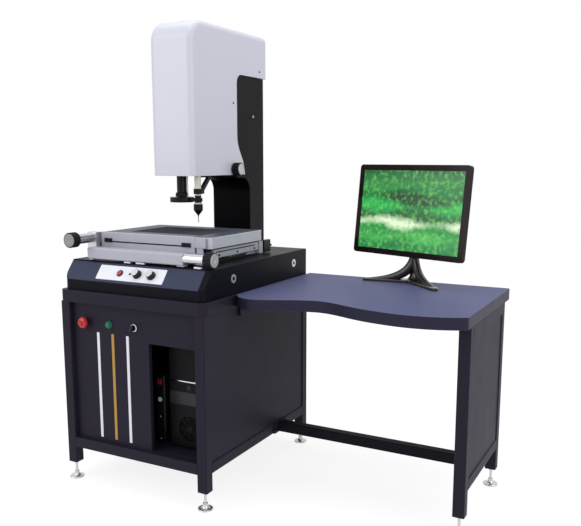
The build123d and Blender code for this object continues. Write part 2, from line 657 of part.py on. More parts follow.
def stretcher_flanges():
    """End plates of the stretcher, each with four bolts."""
    mid = FRONT + STRETCHER_FRONT + TUBE_SIDE / 2
    z0 = RAIL_BOTTOM - 2
    z1 = DESK_RAIL_BOTTOM + TUBE_SIDE
    pieces = []
    for x0, outward in ((CAB_RIGHT, 1), (DESK_LEG_X - FLANGE_THICK, -1)):
        top = RAIL_TOP if outward > 0 else z1
        plate = block(x0, x0 + FLANGE_THICK, mid - FLANGE_WIDTH / 2, mid + FLANGE_WIDTH / 2, z0, top)
        plate = fillet(plate.edges().filter_by(Axis.X), 6)
        face = x0 + FLANGE_THICK if outward > 0 else x0
        for side in (-1, 1):
            for z in (RAIL_BOTTOM + 10, RAIL_TOP - 10):
                y = mid + side * (FLANGE_WIDTH / 2 - 14)
                head = sorted((face, face + outward * FLANGE_BOLT_HEAD))
                plate += rod_x(head[0], head[1], y, z, FLANGE_BOLT_RADIUS)
        pieces.append(plate)
    return group(*pieces)


def desk_top():
    """Slab whose front edge is one long wave."""
    depth_rear = CAB_REAR + DESK_REAR_OVERHANG
    points = [(DESK_LEFT + share * DESK_WIDTH, FRONT + y) for share, y in WAVE]
    wave = Spline(*points)
    sides = Polyline(points[-1], (DESK_RIGHT, depth_rear), (DESK_LEFT, depth_rear), points[0])
    slab = extrude(make_face(wave + sides), amount=DESK_THICK)
    slab = fillet(slab.edges().filter_by(Axis.Z).group_by(Axis.X)[-1], 12)
    return Pos(0, 0, DESK_BOTTOM) * slab


def desk_legs():
    return group(*[leg(DESK_LEG_X, y, DESK_BOTTOM) for y in DESK_LEG_FRONTS])


def desk_rails():
    y0 = DESK_LEG_FRONTS[0] + TUBE_SIDE
    lower = tube_y(DESK_LEG_X, y0, DESK_LEG_FRONTS[1], DESK_RAIL_BOTTOM)
    upper = tube_y(DESK_LEG_X, y0, DESK_LEG_FRONTS[1], DESK_BOTTOM - TUBE_SIDE)
    return group(lower, upper)


def desk_side_panel():
    x1 = DESK_RIGHT - SIDE_PANEL_RECESS
    y0 = DESK_LEG_FRONTS[0] + TUBE_SIDE
    return block(x1 - SHEET, x1, y0, DESK_LEG_FRONTS[1], DESK_RAIL_BOTTOM + TUBE_SIDE, DESK_BOTTOM - TUBE_SIDE)


def desk_support_angle():
    """Angle bolted to the cabinet's rear leg and rim; the desk's left end rests on it."""
    y0 = FRONT + DESK_ANGLE_FRONT
    z1 = RIM_BOTTOM
    upright = block(CAB_RIGHT, CAB_RIGHT + DESK_ANGLE_THICK, y0, CAB_REAR, z1 - DESK_ANGLE_LEG, z1)
    shelf_top = DESK_BOTTOM
    x0 = CAB_RIGHT + RIM_OVERHANG
    flat = block(x0, CAB_RIGHT + DESK_ANGLE_LEG, y0, CAB_REAR, z1, shelf_top)
    corner = block(x0, CAB_RIGHT + DESK_ANGLE_THICK, y0, CAB_REAR, z1 - 1, z1)
    lower = block(CAB_RIGHT, CAB_RIGHT + DESK_ANGLE_LEG, y0, CAB_REAR, z1 - DESK_ANGLE_THICK, z1)
    return upright + flat + corner + lower


def machine_base():
    """Base block with drilled seats for the lifting sockets."""
    body = block(BASE_LEFT, BASE_RIGHT, FRONT + BASE_FRONT, FRONT + BASE_REAR, TABLE_HEIGHT, BASE_TOP)
    body = chamfer(body.edges().group_by(Axis.Z)[-1], 2)
    for y in (SOCKET_FRONT, SOCKET_REAR):
        z = TABLE_HEIGHT + SOCKET_HEIGHT
        body -= rod_x(BASE_LEFT, BASE_LEFT + SOCKET_LENGTH, FRONT + y, z, SOCKET_RADIUS + FIT)
        body -= rod_x(BASE_RIGHT - SOCKET_LENGTH, BASE_RIGHT, FRONT + y, z, SOCKET_RADIUS + FIT)
    return body


def lifting_sockets():
    """Threaded bushes for the lifting bars, two on each side of the base."""
    pieces = []
    for y in (SOCKET_FRONT, SOCKET_REAR):
        z = TABLE_HEIGHT + SOCKET_HEIGHT
        for x0, x1 in ((BASE_LEFT - 1, BASE_LEFT + SOCKET_LENGTH), (BASE_RIGHT - SOCKET_LENGTH, BASE_RIGHT + 1)):
            pieces.append(rod_x(x0, x1, FRONT + y, z, SOCKET_RADIUS) - rod_x(x0, x1, FRONT + y, z, SOCKET_BORE))
    return group(*pieces)


SLOPE_RUN = BASE_FRONT - COVER_FRONT
SLOPE_RISE = BASE_HEIGHT - COVER_LIP_HEIGHT
SLOPE_LENGTH = math.hypot(SLOPE_RUN, SLOPE_RISE)
SLOPE_NORMAL = (0, -SLOPE_RISE / SLOPE_LENGTH, SLOPE_RUN / SLOPE_LENGTH)
PLATE_X = BASE_LEFT + PLATE_FROM_LEFT + PLATE_WIDTH / 2
PLATE_SHARE = PLATE_MID / SLOPE_LENGTH
SLOPE_PLANE = Plane(origin=(PLATE_X, FRONT + COVER_FRONT + SLOPE_RUN * PLATE_SHARE,
                            TABLE_HEIGHT + COVER_LIP_HEIGHT + SLOPE_RISE * PLATE_SHARE),
                    x_dir=(1, 0, 0), z_dir=SLOPE_NORMAL).offset(SLOPE_PANEL_THICK)
PANEL_BUTTON_AT = -48.5
PANEL_LAMP_AT = -3.5
KNOBS_AT = (30.5, 92.5)
PANEL_BORES = [(PANEL_BUTTON_AT, 8 + FIT), (PANEL_LAMP_AT, 3 + FIT), (KNOBS_AT[0], KNOB_SHAFT + FIT),
               (KNOBS_AT[1], KNOB_SHAFT + FIT)]


def cover_plan(inset):
    """Upright body with the sloped cover's rounded plan, or a smaller one by the inset."""
    y0 = FRONT + COVER_FRONT + inset
    depth = 2 * SLOPE_RUN + COVER_CORNER
    plan = RectangleRounded(BASE_RIGHT - BASE_LEFT - 2 * inset, depth, COVER_CORNER - inset)
    return Pos((BASE_LEFT + BASE_RIGHT) / 2, y0 + depth / 2, TABLE_HEIGHT) * extrude(plan, amount=BASE_HEIGHT)


def cover_wedge(inset):
    """The sloped cover's outer form, or the same form smaller all round by the inset."""
    y0 = FRONT + COVER_FRONT + inset
    y1 = FRONT + BASE_FRONT
    z0 = TABLE_HEIGHT + inset
    drop = inset * (SLOPE_LENGTH / SLOPE_RUN - 1) + inset
    lip = TABLE_HEIGHT + COVER_LIP_HEIGHT + inset * SLOPE_RISE / SLOPE_RUN - drop
    section = Polyline((y1, z0), (y0, z0), (y0, lip), (y1, BASE_TOP - drop), close=True)
    width = BASE_RIGHT - BASE_LEFT - 2 * inset
    wedge = extrude(Plane.YZ.offset(BASE_LEFT + inset) * make_face(section), amount=width)
    return wedge & cover_plan(inset)


def base_front_cover():
    """Folded cover over the front of the base, drilled for the controls on its slope."""
    cover = cover_wedge(0) - cover_wedge(COVER_WALL)
    deep = 2 * COVER_WALL + 4
    for x, radius in PANEL_BORES:
        cover -= SLOPE_PLANE * Pos(x, 0, -deep / 2) * Cylinder(radius, 2 * deep)
    return cover


def slope_panel():
    """Thin painted panel on the slope; it leaves a strip of the cover bare above it and at its right."""
    x0 = BASE_LEFT - PLATE_X
    x1 = BASE_RIGHT - SLOPE_PANEL_RIGHT_MARGIN - PLATE_X
    y0 = 1 - PLATE_MID
    sheet = block(x0, x1, y0, y0 + SLOPE_PANEL_LENGTH, -SLOPE_PANEL_THICK, 0)
    sheet = fillet(sheet.edges().filter_by(Axis.Z).group_by(Axis.X)[-1], 6)
    for x, radius in PANEL_BORES:
        sheet -= Pos(x, 0, -SLOPE_PANEL_THICK / 2) * Cylinder(radius, 2 * SLOPE_PANEL_THICK)
    return (SLOPE_PLANE * sheet) & cover_plan(1.5)


def control_plate():
    plate = extrude(RectangleRounded(PLATE_WIDTH, PLATE_SLOPE_LENGTH, 3), amount=PLATE_THICK)
    for x, radius in PANEL_BORES:
        plate -= Pos(x, 0, PLATE_THICK / 2) * Cylinder(radius, 2 * PLATE_THICK)
    return SLOPE_PLANE * plate


def panel_button_bezel():
    top = PLATE_THICK
    ring = turned([(5.6, -10), (8, -10), (8, top), (13, top), (13, top + 2), (12, top + 3), (10.4, top + 3),
                   (10.4, top), (5.6, top)])
    return SLOPE_PLANE * Pos(PANEL_BUTTON_AT, 0, 0) * ring


def panel_button():
    floor = PLATE_THICK + PANEL_BUTTON_TRAVEL + RUNNING_GAP
    button = turned([(0, -8), (5.55, -8), (5.55, floor), (10.1, floor), (10.1, floor + 3), (9, floor + 4),
                     (0, floor + 4)])
    return SLOPE_PLANE * Pos(PANEL_BUTTON_AT, 0, 0) * button


def panel_lamp():
    top = PLATE_THICK
    lamp = turned([(0, -8), (3, -8), (3, top), (4.2, top), (4.2, top + 1.2), (2.4, top + 2.6), (0, top + 3)])
    return SLOPE_PLANE * Pos(PANEL_LAMP_AT, 0, 0) * lamp


def light_knob(index):
    """Fluted knob with a round cap and a pointer rib on its skirt, on a shaft through the slope."""
    low = PLATE_THICK + 0.6
    high = low + KNOB_HEIGHT
    cap = KNOB_RADIUS - 5.4
    body = turned([(0, low), (KNOB_RADIUS, low), (KNOB_RADIUS, low + 3), (KNOB_RADIUS - 2, low + 4),
                   (KNOB_RADIUS - 3, high - 1.5), (KNOB_RADIUS - 4.2, high), (cap + 0.5, high),
                   (cap + 0.5, high - 0.6), (cap, high - 0.6), (cap, high + 0.6), (cap - 0.8, high + 1.2),
                   (0, high + 1.2)])
    for step in range(KNOB_FLUTES):
        angle = step * 360 / KNOB_FLUTES
        flute = Pos(KNOB_RADIUS - 1.4, 0, low + 4 + KNOB_HEIGHT / 2) * Cylinder(0.9, KNOB_HEIGHT)
        body -= Rot(0, 0, angle) * flute
    rib = Pos(0, KNOB_RADIUS - 1.5, low + 3.5) * Box(1.8, 2.6, 1.4)
    shaft = Pos(0, 0, (low - 12) / 2 + 0.5) * Cylinder(KNOB_SHAFT, low + 12)
    return SLOPE_PLANE * Pos(KNOBS_AT[index], 0, 0) * (body + rib + shaft)


def cover_clips():
    """Flat clips along the base's top edge that hold the sloped cover."""
    pieces = []
    y0 = FRONT + BASE_FRONT - 2
    for share, width in ((0.411, 28), (0.505, 38), (0.902, 30)):
        mid = BASE_LEFT + share * (BASE_RIGHT - BASE_LEFT)
        clip = block(mid - width / 2, mid + width / 2, y0, y0 + 13, BASE_TOP, BASE_TOP + 5.5)
        pieces.append(fillet(clip.edges().group_by(Axis.Z)[-1] + clip.edges().filter_by(Axis.Z), 1.8))
    return group(*pieces)


def guide_rail(length, width, height):
    """Rail with waisted flanks, along X from the origin, standing on Z = 0."""
    half = width / 2
    waist = half - 2
    lower = height * 0.35
    upper = height * 0.7
    section = Polyline((-half, 0), (half, 0), (half, lower - 1), (waist, lower + 1), (waist, upper - 1),
                       (half, upper + 1), (half, height - 1), (half - 1, height), (1 - half, height),
                       (-half, height - 1), (-half, upper + 1), (-waist, upper - 1), (-waist, lower + 1),
                       (-half, lower - 1), close=True)
    return extrude(Plane.YZ * make_face(section), amount=length)


def guide_block(length, width, height, rail_width, rail_height):
    """Carriage block straddling the rail, centred on the origin along X."""
    lift = 4.0
    body = block(-length / 2, length / 2, -width / 2, width / 2, lift, height)
    half = rail_width / 2 + FIT
    body -= block(-length / 2, length / 2, -half, half, lift, rail_height + RUNNING_GAP)
    return body


def y_place(x, y):
    return Plane(origin=(x, y, BASE_TOP), x_dir=(0, 1, 0), z_dir=(0, 0, 1))


Y_RAIL_START = FRONT + CARRIAGE_FRONT + Y_TRAVEL + 2
Y_BLOCK_FRONT = Y_RAIL_START + Y_TRAVEL + 3 + Y_BLOCK_LENGTH / 2
Y_BLOCK_CENTRES = (Y_BLOCK_FRONT, Y_BLOCK_FRONT + Y_BLOCK_PITCH)
Y_RAIL_END = Y_BLOCK_CENTRES[1] + Y_TRAVEL + Y_BLOCK_LENGTH / 2 + 3


def y_guide_rails():
    rail = guide_rail(Y_RAIL_END - Y_RAIL_START, Y_RAIL_WIDTH, Y_RAIL_HEIGHT)
    return group(*[y_place(MID_X + side * Y_GUIDE_SPACING / 2, Y_RAIL_START) * rail for side in (-1, 1)])


def y_guide_blocks():
    carriage = guide_block(Y_BLOCK_LENGTH, Y_BLOCK_WIDTH, Y_GUIDE_HEIGHT, Y_RAIL_WIDTH, Y_RAIL_HEIGHT)
    return group(*[y_place(MID_X + side * Y_GUIDE_SPACING / 2, y) * carriage
                   for side in (-1, 1) for y in Y_BLOCK_CENTRES])


X_RAIL_HALF = X_BLOCK_OFFSET + X_BLOCK_LENGTH / 2 + X_TRAVEL + RAIL_END
CARRIAGE_WIDTH = 2 * X_RAIL_HALF + 4
CARRIAGE_LEFT = MID_X - CARRIAGE_WIDTH / 2
CARRIAGE_RIGHT = MID_X + CARRIAGE_WIDTH / 2
CARRIAGE_REAR = FRONT + STAGE_FRONT + STAGE_DEPTH
X_RAIL_YS = (STAGE_MID_Y - X_GUIDE_SPACING / 2, STAGE_MID_Y + X_GUIDE_SPACING / 2)


def y_carriage_plate():
    """Carriage plate with a window for the light from below."""
    plate = block(CARRIAGE_LEFT, CARRIAGE_RIGHT, FRONT + CARRIAGE_FRONT, CARRIAGE_REAR,
                  CARRIAGE_BOTTOM, CARRIAGE_TOP)
    margin = X_RAIL_WIDTH / 2 + 7
    plate -= block(MID_X - CARRIAGE_WINDOW / 2, MID_X + CARRIAGE_WINDOW / 2, X_RAIL_YS[0] + margin,
                   X_RAIL_YS[1] - margin, CARRIAGE_BOTTOM, CARRIAGE_TOP)
    return plate


BEAM_FRONT = FRONT + CARRIAGE_FRONT - BEAM_DEPTH
BEAM_RIGHT = MID_X + BEAM_WIDTH / 2 - BEAM_RIGHT_SETBACK
BEAM_LEFT = BEAM_RIGHT - BEAM_WIDTH
Y_WHEEL_Y = FRONT + CARRIAGE_FRONT - BEAM_DEPTH / 2
Y_SHAFT_END = BEAM_RIGHT - 60.0
Y_TUBE_END = BEAM_RIGHT + Y_TUBE_LENGTH


def front_beam():
    """Front beam of the carriage with a lug under each end, bored at its right for the handwheel shaft."""
    rear = FRONT + CARRIAGE_FRONT
    beam = block(BEAM_LEFT, BEAM_RIGHT, BEAM_FRONT, rear, BEAM_BOTTOM, BEAM_BOTTOM + BEAM_HEIGHT)
    beam = fillet(beam.edges().filter_by(Axis.X).group_by(Axis.Y)[0], 5)
    left, right = BEAM_LUG_LENGTHS
    for x0, x1 in ((BEAM_LEFT, BEAM_LEFT + left), (BEAM_RIGHT - right, BEAM_RIGHT)):
        beam += block(x0, x1, BEAM_FRONT + 6, rear - 6, BEAM_BOTTOM - BEAM_LUG_HEIGHT, BEAM_BOTTOM + 1)
    return beam - rod_x(Y_SHAFT_END - 5, BEAM_RIGHT, Y_WHEEL_Y, Y_WHEEL_HEIGHT, DRIVE_SHAFT + FIT)


SCALE_FRONT = FRONT + STAGE_FRONT - 0.8 - SCALE_DEPTH
SCALE_LEFT = MID_X - SCALE_WIDTH / 2 - SCALE_SHIFT
SCALE_RIGHT = SCALE_LEFT + SCALE_WIDTH


def x_scale_housing():
    """Grooved housing of the X scale, standing on the carriage in front of the stage."""
    x0 = SCALE_LEFT
    y0 = SCALE_FRONT
    z1 = CARRIAGE_TOP + SCALE_HEIGHT
    body = block(x0, x0 + SCALE_WIDTH, y0, y0 + SCALE_DEPTH, CARRIAGE_TOP, z1)
    body = fillet(body.edges().filter_by(Axis.X).group_by(Axis.Z)[-1], 2)
    body -= block(x0 + 18, SCALE_RIGHT - 16, y0, y0 + 4, CARRIAGE_TOP + 21, CARRIAGE_TOP + 26)
    return body


def x_scale_ends():
    """Black end blocks over the ends of the scale's groove."""
    z = CARRIAGE_TOP + 21
    left = block(SCALE_LEFT + 19, SCALE_LEFT + 51, SCALE_FRONT - 6, SCALE_FRONT, z, z + 15)
    right = block(SCALE_RIGHT - 53, SCALE_RIGHT - 17, SCALE_FRONT - 6, SCALE_FRONT, z, z + 15)
    return group(left, right)


def x_scale_corner():
    """Block beside the X scale's right end, on a narrower lug that stands on the carriage."""
    y1 = SCALE_FRONT + SCALE_DEPTH
    x0 = SCALE_RIGHT + 0.5
    x1 = x0 + SCALE_CORNER_WIDTH
    corner = block(x0, x1, SCALE_FRONT, y1, CARRIAGE_TOP + 20, CARRIAGE_TOP + 56)
    corner = fillet(corner.edges().filter_by(Axis.Y), 2)
    return corner + block(x0 + 6, x0 + 32, SCALE_FRONT + 3, y1, CARRIAGE_TOP, CARRIAGE_TOP + 21)


def y_scale_cover():
    """Low bar on the base that holds the Y scale, under the carriage's side housing."""
    x0 = CARRIAGE_RIGHT - 1
    y0 = FRONT + Y_SCALE_FRONT
    cover = block(x0, x0 + Y_SCALE_WIDTH, y0, y0 + Y_SCALE_LENGTH, BASE_TOP, BASE_TOP + Y_SCALE_HEIGHT)
    return fillet(cover.edges().filter_by(Axis.Y).group_by(Axis.Z)[-1], 2)


def side_housing():
    """Housing along the carriage's right edge, with the read head that looks down on the Y scale."""
    x0 = CARRIAGE_RIGHT
    x1 = x0 + SIDE_HOUSING_THICK
    y0 = FRONT + SIDE_HOUSING_FRONT
    housing = block(x0, x1, y0, FRONT + SIDE_HOUSING_REAR, CARRIAGE_BOTTOM - 1, STAGE_BOTTOM - 6)
    housing = fillet(housing.edges().filter_by(Axis.Y).group_by(Axis.X)[-1], 2)
    mid = FRONT + Y_SCALE_FRONT + Y_SCALE_LENGTH / 2
    return housing + block(x0 + 1, x1 - 2, mid - 3, mid + 3, BASE_TOP + Y_SCALE_HEIGHT + 1, CARRIAGE_BOTTOM)


def rear_bracket():
    """Upright plate at the carriage's rear right corner."""
    return block(CARRIAGE_RIGHT, CARRIAGE_RIGHT + SIDE_HOUSING_THICK, CARRIAGE_REAR - 9, CARRIAGE_REAR + 20,
                 BASE_TOP + 4, STAGE_BOTTOM - 6)


def end_switch():
    """Block behind the rear bracket that carries a plunger with a ball tip."""
    x0 = CARRIAGE_RIGHT - 4
    x1 = CARRIAGE_RIGHT + SIDE_HOUSING_THICK + 2
    mid = (x0 + x1) / 2
    y0 = CARRIAGE_REAR + 20
    z = (BASE_TOP + STAGE_BOTTOM) / 2 - 1.5
    switch = block(x0, x1, y0 + 9, y0 + 59, BASE_TOP + 4, STAGE_BOTTOM - 5)
    switch = fillet(switch.edges().filter_by(Axis.Y), 3)
    switch += rod_y(mid, y0, y0 + 9, z, 5) + rod_y(mid, y0 + 59, y0 + 77, z, 2.5)
    return switch + Pos(mid, y0 + 77, z) * Sphere(4.5)


def x_guide_rails():
    rail = guide_rail(2 * X_RAIL_HALF, X_RAIL_WIDTH, X_RAIL_HEIGHT)
    return group(*[Pos(MID_X - X_RAIL_HALF, y, CARRIAGE_TOP) * rail for y in X_RAIL_YS])


def x_guide_blocks():
    carriage = guide_block(X_BLOCK_LENGTH, X_BLOCK_WIDTH, X_GUIDE_HEIGHT, X_RAIL_WIDTH, X_RAIL_HEIGHT)
    return group(*[Pos(MID_X + side * X_BLOCK_OFFSET, y, CARRIAGE_TOP) * carriage
                   for side in (-1, 1) for y in X_RAIL_YS])


def x_stage():
    """Stage frame with a ledge for the glass and rows of threaded clamp holes."""
    plan = RectangleRounded(STAGE_WIDTH, STAGE_DEPTH, STAGE_CORNER)
    frame = extrude(plan, amount=STAGE_THICK)
    frame = chamfer(frame.edges().group_by(Axis.Z)[-1], 1.5)
    window = Rectangle(GLASS_WIDTH - 2 * GLASS_LEDGE, GLASS_DEPTH - 2 * GLASS_LEDGE)
    frame -= extrude(window, amount=STAGE_THICK)
    seat = Rectangle(GLASS_WIDTH + 2 * GLASS_CLEARANCE, GLASS_DEPTH + 2 * GLASS_CLEARANCE)
    frame -= Pos(0, 0, STAGE_THICK - GLASS_THICK) * extrude(seat, amount=GLASS_THICK)
    for side in (-1, 1):
        for step in range(CLAMP_HOLE_COUNT):
            y = (step - (CLAMP_HOLE_COUNT - 1) / 2) * CLAMP_HOLE_PITCH
            x = side * (STAGE_WIDTH / 2 - CLAMP_HOLE_MARGIN)
            frame -= Pos(x, y, STAGE_THICK - CLAMP_HOLE_DEPTH / 2) * Cylinder(CLAMP_HOLE, CLAMP_HOLE_DEPTH)
    return Pos(MID_X, STAGE_MID_Y, STAGE_BOTTOM) * frame


def stage_glass():
    half_x = GLASS_WIDTH / 2
    half_y = GLASS_DEPTH / 2
    return block(MID_X - half_x, MID_X + half_x, STAGE_MID_Y - half_y, STAGE_MID_Y + half_y,
                 STAGE_TOP - GLASS_THICK, STAGE_TOP)


def contour_light():
    """Lamp under the stage that lights the work from below, with a lens in its top."""
    lamp = turned([(0, 0), (CONTOUR_RADIUS, 0), (CONTOUR_RADIUS, CONTOUR_HEIGHT - 3),
                   (CONTOUR_RADIUS - 3, CONTOUR_HEIGHT), (20, CONTOUR_HEIGHT), (20, CONTOUR_HEIGHT - 4),
                   (0, CONTOUR_HEIGHT - 2)])
    return Pos(MID_X, LENS_Y, BASE_TOP) * lamp


def handwheel(radius, length, shaft_end):
    """Knob with a knurled rim and a shaft, along Z with its outer face at Z = 0."""
    wheel = turned([(0, -length), (radius - 1.5, -length), (radius, -length + 1.5), (radius, -1.5),
                    (radius - 1.5, 0), (radius - 4, 0), (radius - 4, -3), (0, -3)])
    count = 30
    for step in range(count):
        wheel -= Rot(0, 0, step * 360 / count) * Pos(radius, 0, -length / 2) * Cylinder(0.8, length - 8)
    return wheel + Pos(0, 0, -(length - 1 + shaft_end) / 2) * Cylinder(DRIVE_SHAFT, shaft_end - length + 1)


def wheel_cap(radius):
    """Disc let into the knob's outer face, with a finger dimple."""
    edge = radius - 4 - FIT
    return turned([(0, -3), (edge, -3), (edge, 0.6), (edge - 1, 1.2), (8, 1.2), (6, 0), (0, 0)])


def wheel_on(plane, radius, length, shaft_end):
    return group(plane * handwheel(radius, length, shaft_end), plane * wheel_cap(radius))


X_WHEEL_X = MID_X - X_WHEEL_OFFSET
X_WHEEL_PLANE = Plane(origin=(X_WHEEL_X, FRONT + X_WHEEL_FACE, X_WHEEL_HEIGHT),
                      x_dir=(1, 0, 0), z_dir=(0, -1, 0))
X_SHAFT_END = X_TUBE_END - X_WHEEL_FACE - 4
Y_WHEEL_PLANE = Plane(origin=(Y_TUBE_END + RUNNING_GAP + WHEEL_LENGTH, Y_WHEEL_Y, Y_WHEEL_HEIGHT),
                      x_dir=(0, 1, 0), z_dir=(1, 0, 0))
Z_WHEEL_FACE = MID_X + HEAD_HALF_WIDTH + Z_BOSS_LENGTH + RUNNING_GAP + Z_WHEEL_LENGTH
Z_WHEEL_PLANE = Plane(origin=(Z_WHEEL_FACE, FRONT + Z_WHEEL_DEPTH, Z_WHEEL_HEIGHT),
                      x_dir=(0, 1, 0), z_dir=(1, 0, 0))
Z_BEARING_X0 = MID_X + Z_BEARING_START
Z_BEARING_X1 = Z_BEARING_X0 + Z_BEARING_LENGTH
Y_SHAFT_LENGTH = Y_TUBE_END + RUNNING_GAP + WHEEL_LENGTH - Y_SHAFT_END
Z_SHAFT_LENGTH = Z_WHEEL_FACE - Z_BEARING_X0


def x_drive_tube():
    """Tube that carries the X handwheel's shaft, held by its bracket at the rear."""
    y0 = FRONT + X_WHEEL_FACE + WHEEL_LENGTH + RUNNING_GAP
    tube = rod_y(X_WHEEL_X, y0, FRONT + X_TUBE_END, X_WHEEL_HEIGHT, DRIVE_TUBE_RADIUS)
    return tube - rod_y(X_WHEEL_X, y0, FRONT + X_TUBE_END, X_WHEEL_HEIGHT, DRIVE_SHAFT + FIT)


def x_drive_bracket():
    """Bracket on the carriage's left edge that clamps the X drive tube."""
    y1 = FRONT + STAGE_FRONT - 1
    y0 = y1 - 30
    half = DRIVE_TUBE_RADIUS + 4
    top = X_WHEEL_HEIGHT + DRIVE_TUBE_RADIUS + 2
    upright = block(X_WHEEL_X - half, X_WHEEL_X + half - 3, y0, y1, CARRIAGE_BOTTOM, top)
    foot = block(X_WHEEL_X, CARRIAGE_LEFT, y0, y1, CARRIAGE_BOTTOM, CARRIAGE_TOP)
    seat = rod_y(X_WHEEL_X, y0, FRONT + X_TUBE_END, X_WHEEL_HEIGHT, DRIVE_TUBE_RADIUS + FIT)
    return upright + foot - seat


def y_drive_tube():
    tube = rod_x(BEAM_RIGHT, Y_TUBE_END, Y_WHEEL_Y, Y_WHEEL_HEIGHT, Y_TUBE_RADIUS)
    return tube - rod_x(BEAM_RIGHT, Y_TUBE_END, Y_WHEEL_Y, Y_WHEEL_HEIGHT, DRIVE_SHAFT + FIT)


def column():
    """Column casting: a plain foot, and an arched corbel that carries the head."""
    front = FRONT + COLUMN_FRONT
    rear = FRONT + COLUMN_REAR
    head = FRONT + COLUMN_HEAD_FRONT
    high = BASE_TOP + ARCH_TOP_RISE
    low = high - ARCH_RADIUS
    under = front - ARCH_RADIUS
    arch_mid = (front - ARCH_RADIUS * 0.2929, low + ARCH_RADIUS * 0.7071)
    arch = ThreePointArc((front, low), arch_mid, (under, high))
    sides = Polyline((under, high), (head, high), (head, COLUMN_TOP), (rear, COLUMN_TOP), (rear, BASE_TOP),
                     (front, BASE_TOP), (front, low))
    x0 = MID_X - COLUMN_WIDTH / 2
    body = extrude(Plane.YZ.offset(x0) * make_face(arch + sides), amount=COLUMN_WIDTH)
    body = fillet(body.edges().filter_by(Axis.Z).group_by(Axis.Y)[1], 4)
    half = COLUMN_WIDTH / 2 - COLUMN_CORE_WALL
    core_top = COLUMN_TOP - COLUMN_CORE_WALL
    return body - block(MID_X - half, MID_X + half, front + COLUMN_CORE_WALL, rear - COLUMN_CORE_WALL,
                        BASE_TOP, core_top)


def column_rear_cover():
    """Tray-shaped sheet cover over the back of the column."""
    y0 = FRONT + COLUMN_REAR
    y1 = y0 + REAR_COVER_DEPTH
    half = COLUMN_WIDTH / 2
    cover = block(MID_X - half, MID_X + half, y0, y1, BASE_TOP, REAR_COVER_TOP)
    cover = fillet(cover.edges().filter_by(Axis.Z).group_by(Axis.Y)[-1], 12)
    inner = half - SHEET
    return cover - block(MID_X - inner, MID_X + inner, y0, y1 - SHEET, BASE_TOP + SHEET, REAR_COVER_TOP - SHEET)


def head_form(inset):
    """The head cover's outer form, or the same form smaller all round by the inset."""
    y0 = FRONT + HEAD_FRONT + inset
    y1 = FRONT + STATION_DEPTH - inset
    z1 = HEAD_TOP - inset
    brow = HEAD_BROW - inset
    low = HEAD_BOTTOM - 2 * inset
    corner = ThreePointArc((y0, z1 - brow), (y0 + brow * 0.293, z1 - brow * 0.293), (y0 + brow, z1))
    rest = Polyline((y0 + brow, z1), (y1, z1), (y1, low), (y0, low), (y0, z1 - brow))
    width = 2 * (HEAD_HALF_WIDTH - inset)
    side = extrude(Plane.YZ.offset(MID_X - width / 2) * make_face(corner + rest), amount=width)
    fronts = side.edges().filter_by(Axis.Z).group_by(Axis.Y)[0]
    arcs = side.edges().filter_by(GeomType.CIRCLE)
    tops = side.edges().filter_by(Axis.Y).group_by(Axis.Z)[-1]
    side = fillet(fronts + arcs + tops, HEAD_FRONT_CORNER - inset)
    rears = side.edges().filter_by(Axis.Z).group_by(Axis.Y)[-1]
    return fillet(rears, HEAD_REAR_CORNER - inset)


def head_cutout():
    """Region behind and below the cover's curved rear edge, where the column stays open to view."""
    y0 = FRONT + COLUMN_HEAD_FRONT
    y1 = FRONT + STATION_DEPTH + 10
    low = HEAD_BOTTOM - 10
    back = y0 + CUTOUT_CURVE_BACK
    cut = CUTOUT_CORNER * 0.293
    corner = ThreePointArc((y0, CUTOUT_TOP - CUTOUT_CORNER), (y0 + cut, CUTOUT_TOP - cut),
                           (y0 + CUTOUT_CORNER, CUTOUT_TOP))
    upper = Polyline((y0 + CUTOUT_CORNER, CUTOUT_TOP), (y1, CUTOUT_TOP), (y1, low), (back, low),
                     (back, HEAD_BOTTOM))
    sweep = Spline((back, HEAD_BOTTOM), (y0, CUTOUT_CURVE_TOP), tangents=[(0, 1), (0, 1)])
    front = Line((y0, CUTOUT_CURVE_TOP), (y0, CUTOUT_TOP - CUTOUT_CORNER))
    outline = make_face(corner + upper + sweep + front)
    width = 2 * HEAD_HALF_WIDTH + 20
    return extrude(Plane.YZ.offset(MID_X - width / 2) * outline, amount=width)


def head_cover():
    """One-piece sheet cover with a rounded brow, open below and behind."""
    cover = head_form(0) - head_form(HEAD_WALL) - head_cutout()
    side = MID_X + HEAD_HALF_WIDTH
    return cover - rod_x(side - 10, side + 10, FRONT + Z_WHEEL_DEPTH, Z_WHEEL_HEIGHT, 9)


def head_seats():
    """Spacer bars on the column's top that the head cover is screwed to."""
    y0 = FRONT + COLUMN_HEAD_FRONT + 60
    y1 = FRONT + COLUMN_REAR
    top = HEAD_TOP - HEAD_WALL
    return group(*[block(MID_X + x - 10, MID_X + x + 10, y0, y1, COLUMN_TOP, top) for x in (-50, 50)])


def cover_side_screws():
    """Button-head screws in the head cover's and the column's sides."""
    head = turned([(0, 0), (4, 0), (4, 1), (2.5, 2.2), (0, 2.2)])
    right = Plane(origin=(MID_X + HEAD_HALF_WIDTH, FRONT, 0), x_dir=(0, 1, 0), z_dir=(1, 0, 0))
    left = Plane(origin=(MID_X - HEAD_HALF_WIDTH, FRONT, 0), x_dir=(0, -1, 0), z_dir=(-1, 0, 0))
    spots = ((767.0, HEAD_BOTTOM + 421), (560.0, HEAD_BOTTOM + 282))
    pieces = [right * Pos(y, z, 0) * head for y, z in spots]
    pieces += [left * Pos(-y, z, 0) * head for y, z in spots]
    return group(*pieces)


Z_RAIL_BOTTOM = CARRIAGE_Z_BOTTOM - Z_DOWN - 55
Z_RAIL_TOP = CARRIAGE_Z_TOP + Z_UP + 60
Z_BLOCK_OFFSET = 55.0


